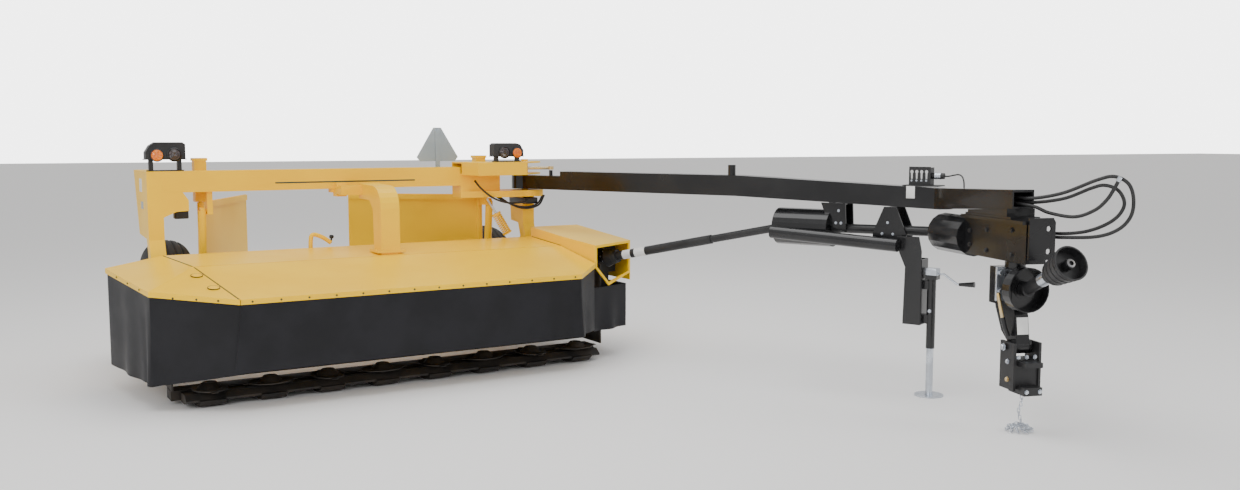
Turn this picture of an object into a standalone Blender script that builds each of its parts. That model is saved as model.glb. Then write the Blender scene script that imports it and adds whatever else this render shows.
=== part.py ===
"""Disc mower conditioner with a side-pull tongue, built as separate solids.

Metres, +Z up. The machine drives towards -Y, and its left side is towards +X. While it is being built,
x = 0 is the middle of the cutterbar, y = 0 the front lip of the hood and z = 0 the ground. At the end
everything is shifted so that the middle of the whole machine's plan is the origin.
"""
import math

import bmesh
import bpy
from mathutils import Matrix, Vector

# ---------------------------------------------------------------- driving dimensions
GAP = 0.0003            # between pieces that touch
CLEAR = 0.006           # between pieces that move past each other
PIN_CLEAR = 0.0015      # round a pin, shaft or rod

# header
LIP_HALF = 1.28         # half the straight front lip of the hood
LIP_Z = 0.75
CREASE_Y = 0.75         # where the sloping front cover meets the top panel
CREASE_Z = 0.90
HOOD_BACK_Y = 1.30
HOOD_BACK_Z = 0.935
SHEET = 0.006           # hood and cover sheet metal
FLANGE = 0.035          # turned-down edge of the hood
LEFT_CORNER = (LIP_HALF + 0.26, 0.23)
RIGHT_CORNER = (-LIP_HALF - 0.505, 0.32)
RIGHT_BACK = (-LIP_HALF - 0.64, 1.26)
RIGHT_CORNER_Z = 0.80
RIGHT_BACK_Z = 0.866
CURTAIN = 0.005         # rubber curtain
CURTAIN_BOTTOM = 0.26
SIDE_CURTAIN_BOTTOM = 0.17
END_PLATE_X = LIP_HALF + 0.38      # outer face of the header's end plates
END_PLATE = 0.012
DISC_COUNT = 8
DISC_PITCH = (LIP_HALF + 0.34) / 4
DISC_Y = 0.36
BAR_TOP = 0.095
SHOE_BOTTOM = 0.0
ROLL_HALF = LIP_HALF + 0.02
ROLL_RADIUS = 0.132
LOWER_ROLL = (0.84, 0.34)
UPPER_ROLL = (0.93, 0.615)
ROLL_SHAFT = 0.025

# gearbox cover at the left end
COVER_FRONT = (LIP_HALF + 0.266, 0.25, LIP_HALF + 0.69, 0.40)
COVER_TOP_FRONT = 0.95
COVER_TOP_BACK = 1.02
COVER_BACK_Y = 1.30
COVER_BOTTOM = 0.62

# trail frame
BEAM_FRONT_Y = 1.42
BEAM_DEPTH = 0.16
BEAM_TOP = 1.549
BEAM_HEIGHT = 0.159
LEG_OUTER = 1.60
LEG_WIDTH = 0.11
LEG_DEPTH_TOP = 0.60
LEG_DEPTH_LOW = 0.42
LEG_KNEE_Z = 1.04
ARM_PIVOT = (1.41, 0.50)
ARM_TUBE = 0.045
ARM_X = 1.15            # middle of the wheel arms
ARM_WIDTH = 0.07
POST_X = 1.18
POST_SIZE = 0.09
POST_Y = 1.665
POST_TOP = 1.63
SHIELD_LENGTH = 1.22
SHIELD_ANGLES = {-1: math.radians(29), 1: math.radians(50)}
SHIELD_TOP = 1.325
SHIELD_BOTTOM = 0.66

# wheels
WHEEL_X = 1.385
WHEEL_Y = 2.02
TYRE_RADIUS = 0.4925
TYRE_WIDTH = 0.36
RIM_RADIUS = 0.205
AXLE_RADIUS = 0.03
WHEEL_SIDES = 36

# tongue
PIVOT = (1.535, 1.47)
TONGUE_ANGLE = math.radians(22.9)
TONGUE_BEND = 2.19      # from the pivot to the bend in its underside
TONGUE_LENGTH = 3.774   # from the pivot to the elbow
NOSE_ANGLE = math.radians(-19)
NOSE_LENGTH = 0.98
TONGUE_WIDTH = 0.15
TONGUE_TOP = 1.509
TONGUE_HEIGHT = 0.158
ELBOW_TOP = 1.450
ELBOW_HEIGHT = 0.144
NOSE_TOP = 1.484
NOSE_HEIGHT = 0.115
HEAD_TOP = 1.470
CLEVIS_UPPER = (1.480, 1.590)
CLEVIS_LOWER = (1.285, 1.340)
CLEVIS_FRONT_Y = 1.15
CLEVIS_INNER_X = 0.90
CLEVIS_WALL_END = 1.40
PIN_RADIUS = 0.03

# jack
JACK_POINT = (TONGUE_LENGTH - 0.029, -0.07)     # along the tongue from the pivot, and to its left
JACK_TOP = 0.85
JACK_BOTTOM = 0.335
JACK_OUTER = 0.030
JACK_INNER = 0.0245
FOOT_HALF = 0.10
FOOT_THICK = 0.008

# hitch
SWIVEL_ALONG = 0.92     # from the elbow, along the nose
HEAD_BOX = (0.43, 1.13)
HEAD_HALF = 0.068
COVER_RADIUS = 0.132
CLEVIS_Z = (0.25, 0.575)
FACE_ALONG = 0.165        # from the swivel axis to the front of the drawbar clevis

# seams, springs, cylinders, driveline, shields and hoses
SEAM_CREASE_X = -LIP_HALF - 0.14   # seam of the right end cover, at the crease and at the back
SEAM_BACK_X = -LIP_HALF - 0.25
INNER_SEAM_X = LIP_HALF + 0.22     # seam of the gearbox cover
END_HINGE = (-LIP_HALF - 0.44, 1.285, 0.885)
CURTAIN_DROP = 0.012    # curtain top below the hood's underside
TURN_YZ = Matrix.Rotation(math.radians(90), 4, "Z") @ Matrix.Rotation(math.radians(90), 4, "X")
SIGN_X = 0.765
SPRING_TOP = (1.14, 1.415, 1.275)
SPRING_BOTTOM = (1.31, 1.36, 0.965)
LIFT_TOP = (1.503, 1.245)
LIFT_BOTTOM = (1.565, 0.59)
SHIELD_SPAN = (TONGUE_LENGTH - 1.244, TONGUE_LENGTH - 0.804)
SHIELD_Z = 1.135
SHIELD_OUTER = 0.138
FRONT_BRACKET = (TONGUE_LENGTH - 0.464, TONGUE_LENGTH - 0.224)
SHAFT_RADIUS = 0.034
SIDE_TUBE = -0.193
PLUG_END = (TONGUE_LENGTH + 0.011, 0.012, 1.533)
HEAD_AXIS_Z = 1.152
HEAD_LOW = 1.045
CROSS_PIN = (0.07, 0.525)       # in front of the swivel axis, and up
CROSS_PIN_RADIUS = 0.018
EYE_RADIUS = 0.045
JAW_FLOOR = 0.05
JAW_GAP = 0.12
PTO_START = (0.135, 0.885)
PTO_END = (0.50, 1.065)
DRIVE_JOINT = (LIP_HALF + 0.53, 0.45, 0.812)
DRIVE_OVERLAP = 0.24    # how far the driveline reaches into the round shield
SWING_BASE = (1.0, 1.36)
SWING_Z = 1.536
HOSE_RADIUS = 0.0105
CABLE_RADIUS = 0.005
HOSE_HEADING = (0.35, -0.937)   # plan direction in which the hoses leave the nose
RECESS = 0.22                   # depth of the hollow in the nose's front end
OUTER_ROUTE = ((0.052, 1.434), (0.232, 1.472), (0.42, 1.553), (0.515, 1.575), (0.592, 1.535), (0.622, 1.45),
               (0.612, 1.35), (0.548, 1.27), (0.43, 1.222), (0.24, 1.207))
INNER_ROUTE = ((0.052, 1.408), (0.232, 1.438), (0.38, 1.502), (0.455, 1.522), (0.53, 1.495), (0.567, 1.425),
               (0.543, 1.355), (0.474, 1.295), (0.365, 1.248), (0.24, 1.228))
LOWER_ROUTE = ((0.071, 1.388), (0.167, 1.352), (0.311, 1.335), (0.421, 1.378), (0.485, 1.44), (0.525, 1.51),
               (0.555, 1.575))
CORDS = ("hose_outer", "hose_inner", "hose_lower", "lamp_cable")

PARTS = bpy.data.collections.new("disc_mower_conditioner")


# ---------------------------------------------------------------- modelling helpers
def material(name, colour, roughness, metallic=0.0):
    made = bpy.data.materials.new(name)
    made.use_nodes = True
    shader = made.node_tree.nodes["Principled BSDF"]
    shader.inputs["Base Color"].default_value = (*colour, 1.0)
    shader.inputs["Roughness"].default_value = roughness
    shader.inputs["Metallic"].default_value = metallic
    return made


def place(name, mesh):
    """Link a mesh to the collection as an object."""
    made = bpy.data.objects.new(name, mesh)
    PARTS.objects.link(made)
    return made


def from_bmesh(name, shape):
    mesh = bpy.data.meshes.new(name)
    bmesh.ops.recalc_face_normals(shape, faces=shape.faces)
    shape.to_mesh(mesh)
    shape.free()
    return place(name, mesh)


def box(low, high, name="block"):
    """An upright block between two corners."""
    low, high = Vector(low), Vector(high)
    shape = bmesh.new()
    bmesh.ops.create_cube(shape, size=1.0)
    bmesh.ops.scale(shape, vec=high - low, verts=shape.verts)
    bmesh.ops.translate(shape, vec=(low + high) / 2, verts=shape.verts)
    return from_bmesh(name, shape)


def rod(start, end, radius, sides=16, end_radius=None, name="rod"):
    """A round bar, or a cone, between two points."""
    start, end = Vector(start), Vector(end)
    shape = bmesh.new()
    bmesh.ops.create_cone(shape, cap_ends=True, segments=sides, radius1=radius,
                          radius2=radius if end_radius is None else end_radius, depth=(end - start).length)
    turn = (end - start).to_track_quat("Z", "X").to_matrix().to_4x4()
    bmesh.ops.transform(shape, matrix=Matrix.Translation((start + end) / 2) @ turn, verts=shape.verts)
    return from_bmesh(name, shape)


def to_mesh(obj):
    """Turn a curve, or an object with modifiers, into a plain mesh object in world coordinates."""
    depsgraph = bpy.context.evaluated_depsgraph_get()
    depsgraph.update()
    mesh = bpy.data.meshes.new_from_object(obj.evaluated_get(depsgraph), depsgraph=depsgraph)
    shape = bmesh.new()
    shape.from_mesh(mesh)
    bmesh.ops.remove_doubles(shape, verts=shape.verts, dist=0.00002)
    bmesh.ops.recalc_face_normals(shape, faces=shape.faces)
    shape.to_mesh(mesh)
    shape.free()
    mesh.transform(obj.matrix_world)
    made = place(obj.name, mesh)
    bpy.data.objects.remove(obj)
    return made


def plate(outline, thickness, matrix=None, holes=(), name="plate"):
    """A flat outline in its own X and Y, as thick as given on +Z, placed by a matrix."""
    curve = bpy.data.curves.new(name, "CURVE")
    curve.dimensions = "2D"
    curve.fill_mode = "BOTH"
    curve.extrude = thickness / 2
    for points in (outline, *holes):
        spline = curve.splines.new("POLY")
        spline.points.add(len(points) - 1)
        for point, (x, y) in zip(spline.points, points):
            point.co = (x, y, 0.0, 1.0)
        spline.use_cyclic_u = True
    made = place(name, curve)
    made.matrix_world = (matrix or Matrix()) @ Matrix.Translation((0, 0, thickness / 2))
    return to_mesh(made)


def ring(radius, centre=(0.0, 0.0), sides=24, start=0.0, sweep=math.tau):
    """Points round a circle, or along an arc of it."""
    closed = abs(sweep - math.tau) < 1e-6
    steps = sides if closed else sides - 1
    return [(centre[0] + radius * math.cos(start + sweep * i / steps),
             centre[1] + radius * math.sin(start + sweep * i / steps)) for i in range(sides)]


def sheet(points, faces, thickness, name="sheet"):
    """A shell of sheet metal: an open surface, given its thickness inwards by Solidify."""
    mesh = bpy.data.meshes.new(name)
    mesh.from_pydata([Vector(point) for point in points], [], faces)
    made = place(name, mesh)
    wall = made.modifiers.new("Thickness", "SOLIDIFY")
    wall.thickness = thickness
    wall.offset = -1.0
    wall.use_even_offset = True
    return to_mesh(made)


def tube(points, radius, sides=2, name="tube"):
    """A round tube along points, with filled ends; sides is the curve's bevel resolution."""
    curve = bpy.data.curves.new(name, "CURVE")
    curve.dimensions = "3D"
    curve.bevel_depth = radius
    curve.bevel_resolution = sides
    curve.use_fill_caps = True
    spline = curve.splines.new("POLY")
    spline.points.add(len(points) - 1)
    for point, place_at in zip(spline.points, points):
        point.co = (*place_at, 1.0)
    return to_mesh(place(name, curve))


def turned(profile, sides=40, name="turned"):
    """A ring turned about Z from a closed profile of (radius, height) points."""
    shape = bmesh.new()
    corners = [shape.verts.new((radius, 0.0, height)) for radius, height in profile]
    edges = [shape.edges.new((corners[i], corners[(i + 1) % len(corners)])) for i in range(len(corners))]
    bmesh.ops.spin(shape, geom=corners + edges, cent=(0, 0, 0), axis=(0, 0, 1), angle=math.tau, steps=sides)
    bmesh.ops.remove_doubles(shape, verts=shape.verts, dist=0.00002)
    return from_bmesh(name, shape)


def boolean(target, other, operation):
    """Apply one EXACT Boolean to target, and remove the other shape."""
    step = target.modifiers.new(operation, "BOOLEAN")
    step.operation = operation
    step.solver = "EXACT"
    step.object = other
    made = to_mesh(target)
    bpy.data.objects.remove(other)
    return made


def join(*shapes):
    """One body out of shapes that overlap."""
    made = shapes[0]
    for other in shapes[1:]:
        made = boolean(made, other, "UNION")
    return made


def cut(target, *cutters):
    for cutter in cutters:
        target = boolean(target, cutter, "DIFFERENCE")
    return target


def moved(obj, matrix):
    obj.data.transform(matrix)
    return obj


def finish(obj, name, finish_material, origin=(0.0, 0.0, 0.0)):
    """Name a part, give it its material and put its origin on its joint."""
    obj.name = name
    obj.data.name = name
    obj.data.materials.clear()
    obj.data.materials.append(finish_material)
    obj.data.shade_smooth()
    obj.data.set_sharp_from_angle(angle=math.radians(32))
    obj.data.transform(Matrix.Translation(-Vector(origin)))
    obj.location = origin
    return obj


def frame_at(point, along, up=(0, 0, 1)):
    """A matrix whose X runs along a direction and whose Z is up, at a point."""
    x_axis = Vector(along).normalized()
    z_axis = (Vector(up) - x_axis * Vector(up).dot(x_axis)).normalized()
    y_axis = z_axis.cross(x_axis)
    turn = Matrix((x_axis, y_axis, z_axis)).transposed().to_4x4()
    return Matrix.Translation(point) @ turn


# ---------------------------------------------------------------- header
def hood_z(y):
    """Height of the hood's outer surface above a y."""
    if y <= CREASE_Y:
        return LIP_Z + (CREASE_Z - LIP_Z) * y / CREASE_Y
    return CREASE_Z + (HOOD_BACK_Z - CREASE_Z) * (y - CREASE_Y) / (HOOD_BACK_Y - CREASE_Y)


def front_cover(paint):
    """The sloping front of the hood, from lip to crease, with its left corner cut off."""
    left_x, left_y = LEFT_CORNER
    right_gap = CLEAR
    top = [(-LIP_HALF + right_gap, 0, LIP_Z), (LIP_HALF, 0, LIP_Z),
           (left_x - CLEAR, left_y, hood_z(left_y)),
           (INNER_SEAM_X, CREASE_Y - CLEAR, hood_z(CREASE_Y - CLEAR)),
           (SEAM_CREASE_X + right_gap, CREASE_Y - CLEAR, hood_z(CREASE_Y - CLEAR))]
    hem = [(x, y, z - FLANGE) for x, y, z in top[:3]]
    points = top + hem
    faces = [(0, 1, 2, 3, 4), (5, 6, 1, 0), (6, 7, 2, 1)]
    return finish(sheet(points, faces, SHEET), "front_cover", paint, (0, CREASE_Y, CREASE_Z))


def top_panel(paint):
    """The fixed panel behind the crease."""
    points = [(SEAM_CREASE_X + CLEAR, CREASE_Y, CREASE_Z), (INNER_SEAM_X, CREASE_Y, CREASE_Z),
              (INNER_SEAM_X, HOOD_BACK_Y, HOOD_BACK_Z), (SEAM_BACK_X + CLEAR, HOOD_BACK_Y, HOOD_BACK_Z),
              (INNER_SEAM_X, HOOD_BACK_Y, HOOD_BACK_Z - FLANGE),
              (SEAM_BACK_X + CLEAR, HOOD_BACK_Y, HOOD_BACK_Z - FLANGE)]
    faces = [(0, 1, 2, 3), (3, 2, 4, 5)]
    return finish(sheet(points, faces, SHEET), "top_panel", paint)


def right_end_cover(paint):
    """The hinged cover over the right end, with two facets and a turned-down edge."""
    bx, by = RIGHT_CORNER
    ax, ay = RIGHT_BACK
    top = [(-LIP_HALF, 0, LIP_Z), (SEAM_CREASE_X, CREASE_Y, CREASE_Z),
           (SEAM_BACK_X, HOOD_BACK_Y, HOOD_BACK_Z),
           (ax, ay + 0.04, RIGHT_BACK_Z), (ax, ay, RIGHT_BACK_Z), (bx, by, RIGHT_CORNER_Z)]
    hem = [(x, y, z - FLANGE) for x, y, z in (top[0], top[5], top[4], top[3])]
    points = top + hem
    faces = [(0, 1, 5), (1, 4, 5), (1, 2, 3), (1, 3, 4), (6, 0, 5, 7), (7, 5, 4, 8), (8, 4, 3, 9)]
    return finish(sheet(points, faces, SHEET), "right_end_cover", paint, END_HINGE)


def strip(path, bottoms, tops, thickness):
    """A hanging sheet along a plan path, as thick as given to its inner side."""
    count = len(path)
    points = [(x, y, z) for (x, y), z in zip(path, tops)] + [(x, y, z) for (x, y), z in zip(path, bottoms)]
    faces = [(i, i + count, i + 1 + count, i + 1) for i in range(count - 1)]
    return sheet(points, faces, thickness)


def inset_path(path, distance):
    """Move a plan path sideways, to its left as it is walked, with mitred corners."""
    moved_points = []
    for i, point in enumerate(path):
        here = Vector(point)
        before = (here - Vector(path[i - 1])).normalized() if i else None
        after = (Vector(path[i + 1]) - here).normalized() if i + 1 < len(path) else None
        before, after = before or after, after or before
        side = Vector((-before.y - after.y, before.x + after.x)).normalized()
        scale = distance / max(side.dot(Vector((-after.y, after.x))), 0.3)
        moved_points.append(tuple(here + side * scale))
    return moved_points


def front_curtain(rubber):
    left_x, left_y = LEFT_CORNER
    path = inset_path([(-LIP_HALF + 2 * CLEAR, 0), (LIP_HALF, 0), (left_x - 2 * CLEAR, left_y - 0.01)],
                      SHEET + CURTAIN + GAP)
    tops = [hood_z(y) - SHEET - CURTAIN_DROP for x, y in path]
    return finish(strip(path, [CURTAIN_BOTTOM] * 3, tops, CURTAIN), "front_curtain", rubber,
                  (0, CREASE_Y, CREASE_Z))


def right_curtain(rubber):
    bx, by = RIGHT_CORNER
    ax, ay = RIGHT_BACK
    path = inset_path([(ax, ay + 0.03), (ax, ay), (bx, by), (-LIP_HALF - CLEAR, 0.01)],
                      SHEET + CURTAIN + GAP)
    edge = [RIGHT_BACK_Z, RIGHT_BACK_Z, RIGHT_CORNER_Z, LIP_Z]
    tops = [z - SHEET - CURTAIN_DROP for z in edge]
    bottoms = [SIDE_CURTAIN_BOTTOM, SIDE_CURTAIN_BOTTOM, SIDE_CURTAIN_BOTTOM, CURTAIN_BOTTOM - 0.01]
    return finish(strip(path, bottoms, tops, CURTAIN), "right_curtain", rubber, END_HINGE)


def cover_top(y):
    """Height of the gearbox cover's top at a y."""
    x0, y0, x1, y1 = COVER_FRONT
    return COVER_TOP_FRONT + (COVER_TOP_BACK - COVER_TOP_FRONT) * (y - y1) / (COVER_BACK_Y - y1)


def gearbox_cover(paint):
    """The raised housing over the gearbox at the left end, open at the front for the driveline."""
    x0, y0, x1, y1 = COVER_FRONT
    back = COVER_BACK_Y
    inner = INNER_SEAM_X + CLEAR
    points = [(x0, y0, cover_top(y0)), (x1, y1, cover_top(y1)), (x1, back, COVER_TOP_BACK),
              (inner, back, COVER_TOP_BACK), (inner, CREASE_Y, cover_top(CREASE_Y)),
              (x0, y0, hood_z(y0) - FLANGE), (inner, CREASE_Y, CREASE_Z - FLANGE),
              (inner, back, HOOD_BACK_Z - FLANGE), (x1, y1, COVER_BOTTOM), (x1, back, COVER_BOTTOM)]
    faces = [(0, 1, 2, 3, 4), (5, 0, 4, 6), (6, 4, 3, 7), (8, 9, 2, 1)]
    shell = sheet(points, faces, SHEET)
    along = Vector((x1 - x0, y1 - y0, 0))
    width = along.length
    turn = frame_at((x0, y0, 0), along) @ Matrix.Rotation(math.radians(90), 4, "X")
    top_left, top_right = cover_top(y0), cover_top(y1)
    outline = [(0, top_left - 0.001), (0, 0.76), (0.17, COVER_BOTTOM - 0.02), (width, 0.68),
               (width, top_right - 0.001)]
    rim = 0.022
    hole = [(rim, top_left - rim), (rim, 0.765), (0.172, COVER_BOTTOM + 0.006), (width - rim, 0.695),
            (width - rim, top_right - rim)]
    face = plate(outline, 0.012, turn @ Matrix.Translation((0, 0, -0.012)), holes=[hole])
    return finish(join(shell, face), "gearbox_cover", paint)


def left_curtain(rubber):
    x0, y0, x1, y1 = COVER_FRONT
    path = inset_path([(x0 + 0.01, y0 + 0.02), (x1 - 0.01, y1 + 0.012), (x1 - 0.01, COVER_BACK_Y)],
                      SHEET + CURTAIN + GAP + 0.004)
    bottoms = [CURTAIN_BOTTOM - 0.03] * 3
    tops = [COVER_BOTTOM - 0.03, COVER_BOTTOM - 0.03, COVER_BOTTOM - 0.03]
    return finish(strip(path, bottoms, tops, CURTAIN), "left_curtain", rubber)


def header_frame(paint):
    """End plates, a rear top tube and a floor beam that carry the cutterbar, rolls and hood."""
    back = HOOD_BACK_Y - 0.03
    front = 0.355
    side = [(front, 0.12), (1.16, 0.12), (back, 0.30), (back, 0.83), (CREASE_Y, 0.845), (front, 0.765)]
    turn = Matrix.Rotation(math.radians(90), 4, "Z") @ Matrix.Rotation(math.radians(90), 4, "X")
    holes = [ring(ROLL_SHAFT + PIN_CLEAR, centre, 16) for centre in (LOWER_ROLL, UPPER_ROLL)]
    shapes = []
    for sign in (-1, 1):
        start = END_PLATE_X - END_PLATE if sign > 0 else -END_PLATE_X
        shapes.append(plate(side, END_PLATE, Matrix.Translation((start, 0, 0)) @ turn, holes=holes))
    tube_box = box((-END_PLATE_X + 0.004, 1.12, 0.77), (END_PLATE_X - 0.004, 1.22, 0.85))
    front_tube = box((-END_PLATE_X + 0.004, 0.66, 0.76), (END_PLATE_X - 0.004, 0.72, 0.84))
    pan = box((-END_PLATE_X + 0.004, 0.62, 0.125), (END_PLATE_X - 0.004, 0.66, 0.165))
    frame = join(tube_box, *shapes, front_tube, pan)
    for sign in (-1, 1):
        for low in (0.42, 0.79):
            x = sign * (LEG_OUTER - LEG_WIDTH / 2)
            link = box((x - 0.02, 1.20, low), (x + 0.02, BEAM_FRONT_Y - GAP - 0.06, low + 0.05))
            frame = join(frame, link)
        side_bar = box((sign * 1.57 - 0.10, 1.19, 0.30), (sign * 1.57 + 0.08, 1.26, 0.36))
        post = box((sign * 1.555 - 0.03, 1.195, 0.32), (sign * 1.555 + 0.03, 1.255, 0.80))
        frame = join(frame, side_bar, post)
    return finish(frame, "header_frame", paint)


def cutterbar(steel):
    """The flat gear case under the discs, with its skid shoes."""
    half = (DISC_COUNT - 1) / 2 * DISC_PITCH + 0.17
    low_edge, high_edge = DISC_Y - 0.10, DISC_Y + 0.13
    section = [(low_edge, 0.045), (DISC_Y - 0.02, 0.028), (high_edge, 0.028), (high_edge, 0.085),
               (DISC_Y - 0.05, BAR_TOP), (low_edge, 0.06)]
    turn = Matrix.Rotation(math.radians(90), 4, "Z") @ Matrix.Rotation(math.radians(90), 4, "X")
    bar = plate(section, 2 * half, Matrix.Translation((-half, 0, 0)) @ turn)
    shapes = [bar, box((-END_PLATE_X + END_PLATE + GAP, high_edge - 0.03, 0.03),
                       (END_PLATE_X - END_PLATE - GAP, 0.61, 0.098))]
    shoe = [(low_edge - 0.03, 0.055), (low_edge + 0.02, 0.012), (DISC_Y, SHOE_BOTTOM),
            (high_edge + 0.10, SHOE_BOTTOM), (high_edge + 0.10, 0.012), (DISC_Y, 0.014), (low_edge + 0.02,
                                                                                          0.05),
            (low_edge + 0.01, 0.062)]
    for i in range(DISC_COUNT):
        x = (i - (DISC_COUNT - 1) / 2) * DISC_PITCH
        foot = plate(shoe, 0.17, Matrix.Translation((x - 0.085, 0, 0)) @ turn)
        heel = box((x - 0.07, high_edge - 0.05, 0.008), (x + 0.07, high_edge + 0.07, 0.05))
        hub = rod((x, DISC_Y, 0.07), (x, DISC_Y, BAR_TOP + 0.014), 0.05, 16)
        shapes += [foot, heel, hub]
    return finish(join(*shapes), "cutterbar", steel)


def disc(number, steel):
    """A cutting disc: a domed oval plate with two knives."""
    x = (number - (DISC_COUNT + 1) / 2) * DISC_PITCH
    low = BAR_TOP + 0.018
    oval = [(0.155 * math.cos(math.tau * i / 20), 0.115 * math.sin(math.tau * i / 20)) for i in range(20)]
    body = plate(oval, 0.008, Matrix.Translation((0, 0, low)))
    dome = rod((0, 0, low + 0.004), (0, 0, low + 0.045), 0.085, 18, 0.045)
    shapes = [body, dome]
    for side in (-1, 1):
        shapes.append(box((side * 0.13 - 0.055, -0.022, low + 0.001),
                          (side * 0.13 + 0.055, 0.022, low + 0.005)))
    made = join(*shapes)
    turn = Matrix.Rotation(math.radians(90 * (number % 2)), 4, "Z")
    moved(made, Matrix.Translation((x, DISC_Y, 0)) @ turn)
    return finish(made, f"disc_{number}", steel, (x, DISC_Y, low))


def roll(name, centre, rubber):
    """A conditioning roll with six lobes, and its shaft."""
    y, z = centre
    count = 36
    outline = []
    for i in range(count):
        angle = math.tau * i / count
        radius = ROLL_RADIUS - 0.006 + 0.006 * math.cos(6 * angle)
        outline.append((radius * math.cos(angle), radius * math.sin(angle)))
    turn = Matrix.Rotation(math.radians(90), 4, "Z") @ Matrix.Rotation(math.radians(90), 4, "X")
    made = plate(outline, 2 * ROLL_HALF, Matrix.Translation((-ROLL_HALF, y, z)) @ turn)
    shaft = rod((-END_PLATE_X + 0.001, y, z), (END_PLATE_X - 0.001, y, z), ROLL_SHAFT, 16)
    return finish(join(made, shaft), name, rubber, (0, y, z))


# ---------------------------------------------------------------- trail frame
def frame_beam(paint):
    """The top beam across the machine."""
    beam = box((-LEG_OUTER + LEG_WIDTH + GAP, BEAM_FRONT_Y, BEAM_TOP - BEAM_HEIGHT),
               (CLEVIS_INNER_X - GAP, BEAM_FRONT_Y + BEAM_DEPTH, BEAM_TOP))
    lug = box((-0.20, BEAM_FRONT_Y - 0.07, 1.33), (-0.12, BEAM_FRONT_Y + 0.03, 1.44))
    pad = box((-0.22, BEAM_FRONT_Y + 0.005, 1.36), (0.04, BEAM_FRONT_Y + 0.09, 1.40))
    cylinder_lug = box((-ARM_X - 0.02, BEAM_FRONT_Y + 0.045, 1.215),
                       (-ARM_X + 0.02, BEAM_FRONT_Y + 0.125, 1.40))
    return finish(join(beam, lug, pad, cylinder_lug, rear_post(-1)), "frame_beam", paint)


def leg_shape(top_z, deep_top, deep_low):
    """The side shape of a leg in (y, z): wide at the top, narrow beside the wheel."""
    front = BEAM_FRONT_Y
    return [(front, top_z), (front + deep_top, top_z), (front + deep_low, LEG_KNEE_Z + 0.02),
            (front + 0.10, LEG_KNEE_Z + 0.005), (front + 0.06, LEG_KNEE_Z - 0.10), (front + 0.06, 0.43),
            (front - 0.06, 0.43), (front - 0.06, 0.90), (front, LEG_KNEE_Z)]


def right_leg(paint):
    side = leg_shape(BEAM_TOP, LEG_DEPTH_TOP, LEG_DEPTH_LOW)
    leg = plate(side, LEG_WIDTH, Matrix.Translation((-LEG_OUTER, 0, 0)) @ TURN_YZ)
    y, z = ARM_PIVOT
    cross = rod((-LEG_OUTER + 0.02, y, z), (-ARM_X + ARM_WIDTH / 2 + 0.03, y, z), ARM_TUBE, 24)
    inner = -LEG_OUTER + LEG_WIDTH - 0.01
    gusset = [(inner, BEAM_TOP - BEAM_HEIGHT - GAP), (inner, 1.20), (inner + 0.03, 1.215),
              (inner + 0.10, 1.245),
              (inner + 0.19, 1.25), (inner + 0.19, 1.33), (inner + 0.15, BEAM_TOP - BEAM_HEIGHT - GAP)]
    turn = Matrix.Rotation(math.radians(90), 4, "X")
    gusset_plate = plate(gusset, 0.06, Matrix.Translation((0, BEAM_FRONT_Y + 0.06, 0)) @ turn)
    leg = join(leg, cross, gusset_plate)
    return finish(leg, "right_leg", paint)


def left_leg(paint):
    """The leg under the tongue's pivot."""
    inner = LEG_OUTER - LEG_WIDTH
    top = CLEVIS_LOWER[0] - GAP
    side = leg_shape(top, 0.26, 0.24)
    leg = plate(side, LEG_WIDTH, Matrix.Translation((inner, 0, 0)) @ TURN_YZ)
    y, z = ARM_PIVOT
    cross = rod((LEG_OUTER - 0.02, y, z), (ARM_X - ARM_WIDTH / 2 - 0.03, y, z), ARM_TUBE, 24)
    return finish(join(leg, cross), "left_leg", paint)


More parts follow.
